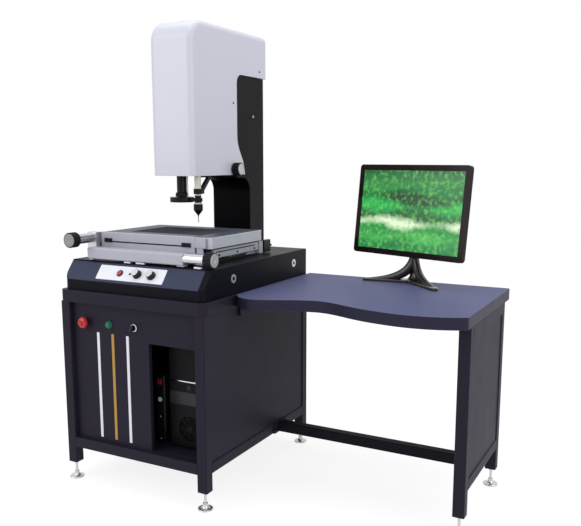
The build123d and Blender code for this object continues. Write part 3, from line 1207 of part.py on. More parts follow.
def z_place(x, z):
    return Plane(origin=(x, FRONT + COLUMN_HEAD_FRONT, z), x_dir=(0, 0, 1), z_dir=(0, -1, 0))


def z_guide_rails():
    rail = guide_rail(Z_RAIL_TOP - Z_RAIL_BOTTOM, X_RAIL_WIDTH, X_RAIL_HEIGHT)
    return group(*[z_place(MID_X + side * Z_GUIDE_SPACING / 2, Z_RAIL_BOTTOM) * rail for side in (-1, 1)])


def z_guide_blocks():
    carriage = guide_block(X_BLOCK_LENGTH, X_BLOCK_WIDTH, Z_GUIDE_HEIGHT, X_RAIL_WIDTH, X_RAIL_HEIGHT)
    mid = (CARRIAGE_Z_BOTTOM + CARRIAGE_Z_TOP) / 2
    return group(*[z_place(MID_X + side * Z_GUIDE_SPACING / 2, mid + offset) * carriage
                   for side in (-1, 1) for offset in (-Z_BLOCK_OFFSET, Z_BLOCK_OFFSET)])


Z_PLATE_REAR = FRONT + COLUMN_HEAD_FRONT - Z_GUIDE_HEIGHT
Z_PLATE_FRONT = Z_PLATE_REAR - Z_PLATE_THICK
CLAMP_LEVELS = (CARRIAGE_Z_BOTTOM + 5, CARRIAGE_Z_TOP - 75)
PROBE_X = MID_X + PROBE_OFFSET
BRACE_Y = LENS_Y + BRACE_REACH


def z_carriage_plate():
    half = Z_GUIDE_SPACING / 2 + X_BLOCK_WIDTH / 2 + 2
    return block(MID_X - half, MID_X + half, Z_PLATE_FRONT, Z_PLATE_REAR, CARRIAGE_Z_BOTTOM, CARRIAGE_Z_TOP)


def lens_bracket():
    """Bracket that reaches forward from the carriage: two lens clamps on a web, and a probe holder."""
    web = block(MID_X - 7, MID_X + 7, LENS_Y, Z_PLATE_FRONT, SHANK_TOP - 21, CLAMP_LEVELS[1] + BRACKET_HEIGHT)
    web -= block(MID_X - 7, MID_X + 7, BRACE_Y + 10, Z_PLATE_FRONT, SHANK_TOP - 21, CARRIAGE_Z_BOTTOM)
    bracket = web
    left = MID_X - BRACKET_CLAMP
    right = MID_X + BRACKET_CLAMP
    for z in CLAMP_LEVELS:
        bracket += block(left, right, LENS_Y, Z_PLATE_FRONT, z, z + BRACKET_HEIGHT)
        bracket += rod_z(MID_X, LENS_Y, z, z + BRACKET_HEIGHT, BRACKET_CLAMP)
    z0 = SHANK_TOP - 21
    bracket += rod_z(MID_X, LENS_Y, z0, z0 + 20, BRACKET_CLAMP)
    bracket += block(MID_X, PROBE_X, LENS_Y - 13, LENS_Y + 13, z0, z0 + 20)
    bracket += block(MID_X, PROBE_X + BRACE_WIDTH / 2, BRACE_Y - 10, BRACE_Y + 10, z0, z0 + 20)
    bracket += rod_z(PROBE_X, LENS_Y, z0, z0 + 20, SHANK_RADIUS + 4)
    bracket -= rod_z(MID_X, LENS_Y, SHANK_TOP - 30, CARRIAGE_Z_TOP, LENS_TUBE + FIT)
    return bracket - rod_z(PROBE_X, LENS_Y, z0, z0 + 20, SHANK_RADIUS + FIT)


RING_LIGHT_TOP = RING_LIGHT_BOTTOM + RING_LIGHT_HEIGHT
ZOOM_RING_BOTTOM = RING_LIGHT_TOP + 2


def zoom_lens():
    """Stepped lens barrel, from the camera down to the ring light."""
    ring_top = ZOOM_RING_BOTTOM + ZOOM_RING_HEIGHT + RUNNING_GAP
    return Pos(MID_X, LENS_Y, 0) * turned([
        (0, LENS_TOP), (0, RING_LIGHT_BOTTOM + 8), (LENS_LOWER - 3, RING_LIGHT_BOTTOM + 6),
        (LENS_LOWER - 3, RING_LIGHT_BOTTOM + 2), (LENS_LOWER, RING_LIGHT_BOTTOM + 2), (LENS_LOWER, ring_top),
        (LENS_TUBE, ring_top), (LENS_TUBE, LENS_TOP)])


def zoom_ring():
    """Knurled ring that turns on the barrel."""
    z0 = ZOOM_RING_BOTTOM
    z1 = z0 + ZOOM_RING_HEIGHT
    ring = turned([(LENS_LOWER + FIT, z0), (ZOOM_RING_RADIUS - 1, z0), (ZOOM_RING_RADIUS, z0 + 1),
                   (ZOOM_RING_RADIUS, z1 - 4), (ZOOM_RING_RADIUS - 4, z1), (LENS_LOWER + FIT, z1)])
    count = 36
    for step in range(count):
        ring -= Rot(0, 0, step * 360 / count) * Pos(ZOOM_RING_RADIUS, 0, z0 + 6) * Cylinder(0.7, 8)
    return Pos(MID_X, LENS_Y, 0) * ring


def ring_light():
    """Ring of lamps clamped round the end of the lens."""
    z0 = RING_LIGHT_BOTTOM
    z1 = RING_LIGHT_TOP
    outer = RING_LIGHT_RADIUS
    inner = LENS_LOWER + FIT
    ring = turned([(inner, z1), (inner, z0 + 3), (inner + 4, z0), (inner + 6, z0), (inner + 6, z0 + 4),
                   (outer - 4, z0 + 4), (outer - 4, z0), (outer - 1, z0), (outer, z0 + 1), (outer, z1 - 1),
                   (outer - 1, z1)])
    return Pos(MID_X, LENS_Y, 0) * ring


def camera():
    half = CAMERA_SIDE / 2
    body = block(MID_X - half, MID_X + half, LENS_Y - half, LENS_Y + half, LENS_TOP, LENS_TOP + CAMERA_HEIGHT)
    return fillet(body.edges().filter_by(Axis.Z), 3)


POST_OFFSET = 27.0


def light_post():
    """Thin rod from the lens bracket down to the ring light."""
    z1 = SHANK_TOP - 21
    return rod_z(MID_X + POST_OFFSET, LENS_Y, RING_LIGHT_TOP, z1, 2)


def probe_shank():
    return Pos(PROBE_X, LENS_Y, 0) * turned([(0, SHANK_TOP), (0, SHANK_BOTTOM), (SHANK_RADIUS - 2, SHANK_BOTTOM),
                                             (SHANK_RADIUS, SHANK_BOTTOM + 2), (SHANK_RADIUS, SHANK_TOP)])


def probe_bands():
    """Chromed joint between the shank and the probe's body, with two grooves."""
    z0 = PROBE_BODY_TOP
    z1 = SHANK_BOTTOM
    r = BAND_RADIUS
    return Pos(PROBE_X, LENS_Y, 0) * turned([(0, z0), (r, z0), (r, z0 + 8), (r - 2.5, z0 + 9), (r - 2.5, z0 + 12),
                                             (r, z0 + 13), (r, z1 - 10), (r - 2.5, z1 - 9), (r - 2.5, z1 - 6),
                                             (r - 1, z1 - 5), (r - 1, z1), (0, z1)])


def probe_body():
    z0 = PROBE_BODY_BOTTOM
    z1 = PROBE_BODY_TOP
    r = PROBE_RADIUS
    return Pos(PROBE_X, LENS_Y, 0) * turned([(0, z0), (6, z0), (7, z0 + 3), (r - 2, z0 + 14), (r, z0 + 17),
                                             (r, z1 - 2), (r - 2, z1), (0, z1)])


def stylus():
    """Stylus stem with its ball."""
    stem = rod_z(PROBE_X, LENS_Y, STYLUS_TIP + STYLUS_BALL, PROBE_BODY_BOTTOM, 1.2)
    collar = rod_z(PROBE_X, LENS_Y, PROBE_BODY_BOTTOM - 7, PROBE_BODY_BOTTOM, 2.6)
    return stem + collar + Pos(PROBE_X, LENS_Y, STYLUS_TIP + STYLUS_BALL) * Sphere(STYLUS_BALL)


def probe_clamp():
    """Arm that ties the probe's joint to the ring light's rim."""
    z0 = RING_LIGHT_BOTTOM + 4
    z1 = RING_LIGHT_TOP - 2
    arm = block(MID_X + RING_LIGHT_RADIUS - 6, PROBE_X, LENS_Y - 11, LENS_Y + 11, z0, z1)
    arm += rod_z(PROBE_X, LENS_Y, z0, z1, BAND_RADIUS + 3)
    arm -= rod_z(PROBE_X, LENS_Y, z0, z1, BAND_RADIUS + FIT)
    return arm - rod_z(MID_X, LENS_Y, z0, z1, RING_LIGHT_RADIUS + FIT)


def probe_brace():
    """Collar on the shank with a stay at 45 degrees, upright where it meets the lens bracket."""
    half = BRACE_WIDTH / 2
    z0 = SHANK_BOTTOM + 6
    collar = rod_z(PROBE_X, LENS_Y, z0, z0 + 20, SHANK_RADIUS + 4)
    collar += block(PROBE_X - half, PROBE_X + half, LENS_Y, LENS_Y + 34, z0, z0 + 20)
    y0 = LENS_Y + 14
    rise = BRACE_Y - y0
    side = BRACE_DEPTH / math.sqrt(8)
    low = z0 + 3
    top = SHANK_TOP - 21
    section = Polyline((y0 + side, low - side), (BRACE_Y + side, low + rise - side), (BRACE_Y + side, top),
                       (BRACE_Y - side, top), (BRACE_Y - side, low + rise), (y0 - side, low + side), close=True)
    stay = extrude(Plane.YZ.offset(PROBE_X - half) * make_face(section), amount=BRACE_WIDTH)
    trim = block(PROBE_X - half, PROBE_X + half, y0 - 20, y0 + 60, z0 - 20, z0)
    return collar + stay - trim - rod_z(PROBE_X, LENS_Y, z0 - 20, z0 + 40, SHANK_RADIUS + FIT)


def z_bearing_block():
    """Bearing block on the column that carries the Z handwheel's shaft."""
    y = FRONT + Z_WHEEL_DEPTH
    z = Z_WHEEL_HEIGHT
    body = block(Z_BEARING_X0, Z_BEARING_X1, y - 16, FRONT + COLUMN_HEAD_FRONT, z - 16, z + 16)
    body = fillet(body.edges().filter_by(Axis.X).group_by(Axis.Y)[0], 8)
    return body - rod_x(Z_BEARING_X0, Z_BEARING_X1, y, z, DRIVE_SHAFT + FIT)


def z_wheel_boss():
    """Collar between the head cover and the Z handwheel."""
    x0 = MID_X + HEAD_HALF_WIDTH
    y = FRONT + Z_WHEEL_DEPTH
    collar = rod_x(x0, x0 + Z_BOSS_LENGTH, y, Z_WHEEL_HEIGHT, 15)
    return collar - rod_x(x0, x0 + Z_BOSS_LENGTH, y, Z_WHEEL_HEIGHT, DRIVE_SHAFT + FIT)


MONITOR_PLACE = Pos(CAB_RIGHT + MONITOR_X, FRONT + MONITOR_Y, 0) * Rot(0, 0, MONITOR_YAW)
PANEL_PLACE = MONITOR_PLACE * Pos(0, 0, MONITOR_BOTTOM) * Rot(-MONITOR_TILT, 0, 0)
HINGE_LOCAL = PANEL_PLACE * Pos(0, HINGE_SETBACK, HINGE_HEIGHT)


def monitor_bezel():
    """Front frame with the recess for the screen; its face is the plane Y = 0 of the panel."""
    outer = RectangleRounded(MONITOR_WIDTH, MONITOR_HEIGHT, MONITOR_CORNER)
    frame = extrude(Plane.XZ * Pos(0, MONITOR_HEIGHT / 2) * outer, amount=-MONITOR_THICK)
    opening = Rectangle(MONITOR_WIDTH - 2 * MONITOR_MARGIN, MONITOR_HEIGHT - 2 * MONITOR_MARGIN)
    frame -= extrude(Plane.XZ * Pos(0, MONITOR_HEIGHT / 2) * opening, amount=-8)
    return PANEL_PLACE * frame


def monitor_screen():
    pane = Rectangle(MONITOR_WIDTH - 2 * MONITOR_MARGIN, MONITOR_HEIGHT - 2 * MONITOR_MARGIN)
    return PANEL_PLACE * Pos(0, 1.5, 0) * extrude(Plane.XZ * Pos(0, MONITOR_HEIGHT / 2) * pane, amount=-6.5)


def monitor_rear_cover():
    """Bulged rear shell, lofted from the bezel to a smaller back."""
    first = Plane.XZ.offset(-MONITOR_THICK) * Pos(0, MONITOR_HEIGHT / 2)
    last = Plane.XZ.offset(-MONITOR_THICK - MONITOR_BULGE) * Pos(0, MONITOR_HEIGHT / 2 - 6)
    wide = first * RectangleRounded(MONITOR_WIDTH - 6, MONITOR_HEIGHT - 6, MONITOR_CORNER)
    narrow = last * RectangleRounded(MONITOR_WIDTH * 0.62, MONITOR_HEIGHT * 0.55, MONITOR_CORNER)
    shell = loft([wide, narrow])
    ear = block(-NECK_WIDTH / 2 - 14, -NECK_WIDTH / 2 - 1, MONITOR_THICK + 4, HINGE_SETBACK, HINGE_HEIGHT - 11,
                HINGE_HEIGHT + 11)
    ear += rod_x(-NECK_WIDTH / 2 - 14, -NECK_WIDTH / 2 - 1, HINGE_SETBACK, HINGE_HEIGHT, 11)
    for side in (0, 1):
        shell += Pos(side * (NECK_WIDTH + 15), 0, 0) * ear
    pin = rod_x(-NECK_WIDTH / 2 - 14, NECK_WIDTH / 2 + 14, HINGE_SETBACK, HINGE_HEIGHT, HINGE_RADIUS + FIT)
    return PANEL_PLACE * (shell - pin)


def hinge_frame():
    """Place of the tilt hinge: X along the hinge pin, Z upright."""
    spot = HINGE_LOCAL.position
    return Pos(spot.X, spot.Y, spot.Z) * Rot(0, 0, MONITOR_YAW)


def monitor_hinge_pin():
    length = NECK_WIDTH + 28
    return hinge_frame() * Rot(0, 90, 0) * Cylinder(HINGE_RADIUS, length)


def monitor_neck():
    """Upright blade that widens into the foot in a hollow curve."""
    top = HINGE_LOCAL.position.Z
    low = TABLE_HEIGHT + FOOT_THICK - top
    half = NECK_WIDTH / 2
    blade = block(-half, half, -NECK_THICK / 2, NECK_THICK / 2, low, 0)
    sizes = ((0, 34, 25), (7, 25, 16), (20, 19, 10), (44, 15, 6.5))
    blade += loft([Pos(0, 0, low + lift) * Ellipse(wide, deep) for lift, wide, deep in sizes])
    blade += rod_x(-half, half, 0, 0, 11)
    blade = blade - rod_x(-half, half, 0, 0, HINGE_RADIUS)
    return hinge_frame() * blade


def monitor_foot():
    """V-shaped foot: a round hub with two tapering arms towards the operator."""
    spot = HINGE_LOCAL.position
    hub = Pos(0, 0, FOOT_THICK / 2) * Cylinder(FOOT_HUB, FOOT_THICK)
    foot = fillet(hub.edges().group_by(Axis.Z)[-1], FOOT_EDGE)
    root = Circle(FOOT_HUB * 0.8).edges()
    tip = (Pos(FOOT_ARM - FOOT_TIP, 0) * Circle(FOOT_TIP)).edges()
    arm = extrude(make_hull([*root, *tip]), amount=FOOT_THICK - 1)
    arm = fillet(arm.edges().group_by(Axis.Z)[-1], FOOT_EDGE)
    for side in (-1, 1):
        foot += Rot(0, 0, side * FOOT_HALF_ANGLE - 90) * arm
    return Pos(spot.X, spot.Y, TABLE_HEIGHT) * Rot(0, 0, MONITOR_YAW) * foot


NODES = {
    "cabinet_legs": cabinet_legs(),
    "cabinet_lower_rails": cabinet_lower_rails(),
    "cabinet_top": group(cabinet_top_rim(), cabinet_top_plate()),
    "cabinet_front_panel": cabinet_front_panel(),
    "cabinet_panels": group(cabinet_side_panels(), cabinet_rear_panel(), cabinet_floor()),
    "foot_pads": foot_pads(),
    "foot_stems": group(foot_stems(), foot_lock_nuts()),
    "trim_strips": group(trim_strip(0), trim_strip(1), trim_strip(2)),
    "control_bezels": group(control_bezels(), control_nuts()),
    "estop_head": estop_head(),
    "start_button": start_button(),
    "selector_handle": selector_handle(),
    "computer_case": computer_case(),
    "computer_front": group(computer_front(), computer_fan_grille()),
    "computer_button": computer_button(),
    "power_supply": power_supply(),
    "stretcher_bar": stretcher_bar(),
    "desk_fittings": group(stretcher_flanges(), desk_support_angle()),
    "desk_top": desk_top(),
    "desk_frame": group(desk_legs(), desk_rails(), desk_side_panel()),
    "machine_base": machine_base(),
    "lifting_sockets": lifting_sockets(),
    "base_front_cover": base_front_cover(),
    "control_plate": group(control_plate(), slope_panel()),
    "panel_fittings": group(panel_button_bezel(), panel_lamp(), cover_clips(), cover_side_screws()),
    "panel_button": panel_button(),
    "left_light_knob": light_knob(0),
    "right_light_knob": light_knob(1),
    "y_guide_rails": y_guide_rails(),
    "y_carriage": group(y_carriage_plate(), y_guide_blocks()),
    "front_beam": front_beam(),
    "x_scale_housing": group(x_scale_housing(), x_scale_ends(), x_scale_corner(), side_housing(),
                             rear_bracket(), end_switch()),
    "y_scale_cover": y_scale_cover(),
    "x_guide_rails": x_guide_rails(),
    "x_guide_blocks": x_guide_blocks(),
    "x_stage": x_stage(),
    "stage_glass": stage_glass(),
    "contour_light": contour_light(),
    "drive_tubes": group(x_drive_tube(), y_drive_tube(), x_drive_bracket()),
    "x_handwheel": wheel_on(X_WHEEL_PLANE, WHEEL_RADIUS, WHEEL_LENGTH, X_SHAFT_END),
    "y_handwheel": wheel_on(Y_WHEEL_PLANE, WHEEL_RADIUS, WHEEL_LENGTH, Y_SHAFT_LENGTH),
    "z_handwheel": wheel_on(Z_WHEEL_PLANE, Z_WHEEL_RADIUS, Z_WHEEL_LENGTH, Z_SHAFT_LENGTH),
    "column": column(),
    "column_rear_cover": column_rear_cover(),
    "head_cover": head_cover(),
    "head_brackets": group(head_seats(), z_bearing_block(), z_wheel_boss()),
    "z_guide_rails": z_guide_rails(),
    "z_carriage": group(z_carriage_plate(), z_guide_blocks()),
    "lens_bracket": group(lens_bracket(), light_post()),
    "camera": camera(),
    "zoom_lens": zoom_lens(),
    "zoom_ring": zoom_ring(),
    "ring_light": ring_light(),
    "probe_shank": group(probe_shank(), probe_bands()),
    "probe_body": probe_body() + stylus(),
    "probe_clamp": group(probe_clamp(), probe_brace()),
    "monitor_bezel": monitor_bezel(),
    "monitor_screen": monitor_screen(),
    "monitor_rear_cover": monitor_rear_cover(),
    "monitor_stand": group(monitor_foot(), monitor_neck() + monitor_hinge_pin()),
}


def write_parts():
    os.makedirs("parts", exist_ok=True)
    for name, shape in NODES.items():
        export_step(shape, f"parts/{name}.step")


write_parts()
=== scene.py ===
# %% [markdown]
# # A video measuring station, dressed for its picture
#
# The machine stands on a steel cabinet, with a desk for its monitor at the side.
# Its solids come from the CAD frame, already in place and in metres, with X to the
# right, Y away from the viewer and Z up. This lesson gives each solid its finish,
# and adds the small things that a solid model leaves out: screws, lamps and trim.

import json
from collections import namedtuple
from math import cos, hypot, pi, radians, sin

import bmesh
import bpy
from mathutils import Matrix, Vector


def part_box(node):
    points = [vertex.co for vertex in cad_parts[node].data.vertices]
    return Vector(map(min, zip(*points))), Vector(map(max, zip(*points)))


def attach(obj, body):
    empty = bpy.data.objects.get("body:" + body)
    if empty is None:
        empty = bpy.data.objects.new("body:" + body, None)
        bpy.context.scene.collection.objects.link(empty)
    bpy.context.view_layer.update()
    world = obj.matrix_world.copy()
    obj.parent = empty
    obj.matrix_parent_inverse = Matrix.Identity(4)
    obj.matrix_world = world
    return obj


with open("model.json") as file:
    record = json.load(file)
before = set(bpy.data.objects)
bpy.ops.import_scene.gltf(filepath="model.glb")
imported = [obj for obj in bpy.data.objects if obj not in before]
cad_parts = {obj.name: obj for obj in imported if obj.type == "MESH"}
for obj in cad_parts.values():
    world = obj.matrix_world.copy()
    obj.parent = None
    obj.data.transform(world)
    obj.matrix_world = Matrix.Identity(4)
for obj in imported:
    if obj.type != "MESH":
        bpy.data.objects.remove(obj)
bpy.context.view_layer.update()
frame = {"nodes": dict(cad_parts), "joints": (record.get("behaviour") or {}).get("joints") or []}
nodes = frame["nodes"]
MM = 0.001

# %% [markdown]
# ## The camera
#
# A camera can be placed by eye, or worked out from edges whose real sizes are known.
# Here the cabinet's and the desk's straight edges were matched to the picture, which
# gave the place, the turn and the focal length together. A normal lens from three
# metres back keeps the verticals nearly upright, and a small shift frames the head.

# %% Place the camera
CAMERA_PLACE = Vector((1.30401, -2.4409, 1.21707))
CAMERA_TILT = 80.63
CAMERA_TURN = 27.95
FOCAL_LENGTH = 46.45
SENSOR_WIDTH = 36
FRAME_SHIFT = (0.0015, 0.0339)

scene = bpy.context.scene
camera = bpy.data.objects.new("camera", bpy.data.cameras.new("camera"))
scene.collection.objects.link(camera)
camera.location = CAMERA_PLACE
camera.rotation_euler = (radians(CAMERA_TILT), 0, radians(CAMERA_TURN))
camera.data.lens = FOCAL_LENGTH
camera.data.sensor_width = SENSOR_WIDTH
camera.data.shift_x, camera.data.shift_y = FRAME_SHIFT
scene.camera = camera
scene.view_settings.view_transform = "Standard"
print("camera is", round(CAMERA_PLACE.length, 2), "m from the middle of the floor")

# %% [markdown]
# ## Helpers for every material
#
# Paint charts give colours as sRGB hex values, while the renderer adds light up in
# linear values. One function turns the first into the second. Node trees are long
# to write out by hand, so another adds any node with its settings, and links or
# fills its sockets in one go.

# %% Colours and nodes
def colour(hex_value):
    """The linear colour, with alpha, of an sRGB hex value."""
    parts = [int(hex_value[i:i + 2], 16) / 255 for i in (1, 3, 5)]
    return (*(c / 12.92 if c <= 0.04045 else ((c + 0.055) / 1.055) ** 2.4 for c in parts), 1.0)


def add(tree, kind, sockets=None, **settings):
    """Adds a node, sets it up, and fills each socket with a value or another node's output."""
    made = tree.nodes.new(kind)
    for key, value in settings.items():
        setattr(made, key, value)
    for socket, value in (sockets or {}).items():
        if isinstance(value, bpy.types.NodeSocket):
            tree.links.new(value, made.inputs[socket])
        else:
            made.inputs[socket].default_value = value
    return made


def maths(tree, operation, *values):
    """The result of a Math node."""
    return add(tree, "ShaderNodeMath", dict(enumerate(values)), operation=operation).outputs[0]


def empty_tree(owner):
    """Turns nodes on for a material or world, and clears what Blender puts there."""
    owner.use_nodes = True
    owner.node_tree.nodes.clear()
    return owner.node_tree


print("mid grey #808080 is", round(colour("#808080")[0], 3), "in linear light")

# %% [markdown]
# ## The studio
#
# The picture is a catalogue cut-out: white all round, with soft light from every
# side and a little more from the front. A bright world would do that alone, but it
# would wash the paint out. So the world lights the object at a plain level, and
# only what the camera or a reflection sees of it is pure white.

# %% White surroundings
DOME_LEVEL = 0.62
BACKDROP_LEVEL = 1.0

world = bpy.data.worlds.new("soft_white_studio")
scene.world = world
tree = empty_tree(world)
rays = add(tree, "ShaderNodeLightPath").outputs
seen = maths(tree, "MAXIMUM", rays["Is Camera Ray"], rays["Is Glossy Ray"])
dome = add(tree, "ShaderNodeBackground", {"Color": colour("#f8f9ff"), "Strength": DOME_LEVEL})
backdrop = add(tree, "ShaderNodeBackground",
               {"Color": colour("#ffffff"), "Strength": BACKDROP_LEVEL})
both = add(tree, "ShaderNodeMixShader", {0: seen, 1: dome.outputs[0], 2: backdrop.outputs[0]})
add(tree, "ShaderNodeOutputWorld", {"Surface": both.outputs[0]})
print("the dome shines at", DOME_LEVEL, "and shows as white")

# %% [markdown]
# The floor glows just enough to melt into the white behind it, and what the object
# takes from the light on it stays as a faint shadow. To every other ray it is a
# plain pale floor, so it throws an honest amount of light back up.

# %% A pale floor that keeps the shadow
FLOOR_RADIUS = 14
FLOOR_SIDES = 96
FLOOR_DROP = 0.5 * MM
FLOOR_GLOW = 0.84

shape = bmesh.new()
bmesh.ops.create_circle(shape, cap_ends=True, segments=FLOOR_SIDES, radius=FLOOR_RADIUS)
mesh = bpy.data.meshes.new("studio_floor")
shape.to_mesh(mesh)
shape.free()
floor = bpy.data.objects.new("studio_floor", mesh)
scene.collection.objects.link(floor)
floor.location.z = -FLOOR_DROP
rolled_paint = bpy.data.materials.new("white_painted_floor_rolled")
mesh.materials.append(rolled_paint)
tree = empty_tree(rolled_paint)
rays = add(tree, "ShaderNodeLightPath").outputs
shown = maths(tree, "MAXIMUM", rays["Is Camera Ray"], rays["Is Glossy Ray"])
shaded = add(tree, "ShaderNodeBsdfDiffuse", {"Color": colour("#8c8c8e")})
glow = add(tree, "ShaderNodeEmission", {"Color": colour("#ffffff"), "Strength": FLOOR_GLOW})
lifted = add(tree, "ShaderNodeAddShader", {0: shaded.outputs[0], 1: glow.outputs[0]})
plain = add(tree, "ShaderNodeBsdfDiffuse", {"Color": colour("#dedee0")})
mixed = add(tree, "ShaderNodeMixShader", {0: shown, 1: plain.outputs[0], 2: lifted.outputs[0]})
add(tree, "ShaderNodeOutputMaterial", {"Surface": mixed.outputs[0]})
print("floor radius:", FLOOR_RADIUS, "m")

# %% Three soft lamps
AIM = Vector((0, 0, 0.85))
LAMPS = {  # place and width in metres, power in watts
    "window_front_left": ((-2.3, -3.4, 2.6), 3.0, 60),
    "window_right": ((3.9, -1.2, 2.2), 2.6, 52),
    "ceiling_panel": ((-0.2, 0.3, 4.0), 3.0, 46),
}
for name, (place, width, watts) in LAMPS.items():
    lamp = bpy.data.objects.new(name, bpy.data.lights.new(name, "AREA"))
    scene.collection.objects.link(lamp)
    lamp.data.size = width
    lamp.data.energy = watts
    lamp.location = place
    lamp.rotation_euler = (AIM - Vector(place)).to_track_quat("-Z", "Y").to_euler()
print("lamps:", ", ".join(LAMPS))

# %% [markdown]
# ## What the finishes share
#
# Paint, metal and plastic are built from the same few steps: a noise of a known
# size, a range that it is turned into, two colours mixed by it, edges that catch
# the light, and relief. With a name for each step, a finish reads like a recipe.

# %% Steps of a finish
NOISE_RANGE = (0.3, 0.7)
BEVEL_SAMPLES = 4


def tinted(hex_value, factor):
    """The linear colour of a hex value, made lighter or darker by a factor."""
    return (*(min(1.0, c * factor) for c in colour(hex_value)[:3]), 1.0)


def start_finish(name):
    """A new material's tree, and the object coordinates in which its patterns are laid."""
    tree = empty_tree(bpy.data.materials.new(name))
    return tree, add(tree, "ShaderNodeTexCoord").outputs["Object"]


def close_finish(tree, name, sockets):
    """Ends a material with one Principled shader."""
    shader = add(tree, "ShaderNodeBsdfPrincipled", sockets)
    add(tree, "ShaderNodeOutputMaterial", {"Surface": shader.outputs[0]})
    return bpy.data.materials[name]


def noise(tree, place, size, detail):
    """Noise whose blobs are about size wide; most of it lies inside NOISE_RANGE."""
    sockets = {"Vector": place, "Scale": 1 / size, "Detail": detail}
    return add(tree, "ShaderNodeTexNoise", sockets).outputs["Fac"]


def remap(tree, value, start, end, to_start, to_end):
    """A value turned from one range into another, and kept inside it."""
    sockets = {0: value, 1: start, 2: end, 3: to_start, 4: to_end}
    return add(tree, "ShaderNodeMapRange", sockets).outputs[0]


def blend(tree, share, first, second):
    """Two colours mixed: a share of 0 shows the first, 1 the second."""
    sockets = {0: share, 6: first, 7: second}
    return add(tree, "ShaderNodeMix", sockets, data_type="RGBA").outputs[2]


def rounded_edges(tree, radius):
    """A normal that turns softly round every edge, so that edges catch the light."""
    return add(tree, "ShaderNodeBevel", {"Radius": radius}, samples=BEVEL_SAMPLES).outputs[0]


def relief(tree, height, depth, normal=None, strength=1.0):
    """A normal that shows height as bumps of the given depth, laid over another normal."""
    sockets = {"Strength": strength, "Distance": depth, "Height": height}
    if normal is not None:
        sockets["Normal"] = normal
    return add(tree, "ShaderNodeBump", sockets).outputs[0]


def dot(tree, first, second):
    """How far one vector reaches along another."""
    sockets = {0: first, 1: second}
    return add(tree, "ShaderNodeVectorMath", sockets, operation="DOT_PRODUCT").outputs["Value"]


def counted_from(tree, place, centre):
    """Coordinates counted from a centre."""
    sockets = {0: place, 1: centre}
    return add(tree, "ShaderNodeVectorMath", sockets, operation="SUBTRACT").outputs[0]


print("a finish's noise is read between", NOISE_RANGE[0], "and", NOISE_RANGE[1])

# %% [markdown]
# ## Paints
#
# The cabinet, the desk frame and most covers are sheet steel with a powder coat:
# dry powder is sprayed on and baked, and it flows into a skin with a faint orange
# peel, 1 to 2 mm from bump to bump. A flat colour would look like paper. Here a
# noise gives the peel as relief, a wider noise clouds colour and gloss, and the
# Bevel node finds the edges, which are painted lighter: partly where the coat is
# thin and rubbed, partly as a painted highlight along the folds.

# %% A sprayed coat
CLOUD_SIZE = 90 * MM
RUB_SIZE = 14 * MM
RUB_RANGE = (0.35, 0.7)
EDGE_BEND = (0.99, 0.86)
EDGE_WEAR_AND_HIGHLIGHT = 0.75
CLEAR_COAT_ROUGHNESS = 0.12


def sprayed_coat(name, base, worn, roughness, peel_mm, relief_mm,
                 cloud=0.08, gloss_coat=0.0, edge_mm=1.6, sheen_level=0.5):
    """Paint or powder on metal; worn is the lighter colour of its edges, for rubbing and a painted
    highlight.

    The real peel is 1 to 2 mm from bump to bump; it is drawn coarser, so that it shows.
    """
    tree, place = start_finish(name)
    clouds = noise(tree, place, CLOUD_SIZE, 5.0)
    tone = blend(tree, clouds, tinted(base, 1 - cloud), tinted(base, 1 + cloud))
    rounded = rounded_edges(tree, edge_mm * MM)
    true_normal = add(tree, "ShaderNodeNewGeometry").outputs["Normal"]
    # Edges take the worn colour: partly a thin, rubbed coat, partly a painted highlight along the
    # folds.
    edge = remap(tree, dot(tree, rounded, true_normal), *EDGE_BEND, 0.0, EDGE_WEAR_AND_HIGHLIGHT)
    rubbed = remap(tree, noise(tree, place, RUB_SIZE, 3.0), *RUB_RANGE, 0.0, 1.0)
    skin = blend(tree, maths(tree, "MULTIPLY", edge, rubbed), tone, colour(worn))
    matt = remap(tree, clouds, *NOISE_RANGE, roughness - 0.02, roughness + 0.03)
    peel = relief(tree, noise(tree, place, peel_mm * MM, 2.0), relief_mm * MM, rounded)
    return close_finish(tree, name, {
        "Base Color": skin, "Roughness": matt, "IOR": 1.5, "Specular IOR Level": sheen_level,
        "Coat Weight": gloss_coat, "Coat Roughness": CLEAR_COAT_ROUGHNESS, "Normal": peel})


# Epoxy powder over steel: a dry, even sheen with soft highlights along the folds.
SLATE_POWDER = sprayed_coat("slate_powder_coat_baked", "#231f2c", "#474453", 0.52, 3.0, 0.10,
                            sheen_level=0.12)
# The same powder, painted darker where little light reaches: painted shade on the stretcher bar.
SHADED_POWDER = sprayed_coat("powder_coat_baked_painted_shade", "#15131a", "#2a2930", 0.62, 3.0, 0.10,
                          sheen_level=0.1)
# Two-pack lacquer on filled fibreboard: smoother than powder, even and nearly matt.
DESK_LACQUER = sprayed_coat("desk_slate_lacquer_rolled", "#5a5d80", "#8285a2", 0.50, 6.0, 0.04,
                            cloud=0.03, sheen_level=0.07)
# The same lacquer on the desk's edges, painted darker as painted shade on the faces that do not
# look up.
SHADED_EDGE_LACQUER = sprayed_coat("desk_edge_lacquer_painted_shade", "#2b293a", "#7a7b92", 0.46, 6.0, 0.05,
                            sheen_level=0.12)
# Black enamel over stone-filled casting: deep and satin, with a faint pebble.
BASE_ENAMEL = sprayed_coat("black_enamel_over_casting", "#0a0a13", "#23242c", 0.42, 4.0, 0.06,
                           sheen_level=0.08)
# Slate-blue structure paint on the sloped panel: dry, with light only along its folds.
COVER_PAINT = sprayed_coat("slate_blue_structure_paint", "#383e53", "#616678", 0.52, 3.0, 0.12,
                           sheen_level=0.15)
# Clear-coated lacquer on the big folded head cover: smooth, bright, barely peeled.
HEAD_LACQUER = sprayed_coat("lilac_grey_lacquer_sprayed", "#cfd0da", "#f2f2f8", 0.34, 9.0, 0.05,
                            cloud=0.015, gloss_coat=0.15, edge_mm=2.5)
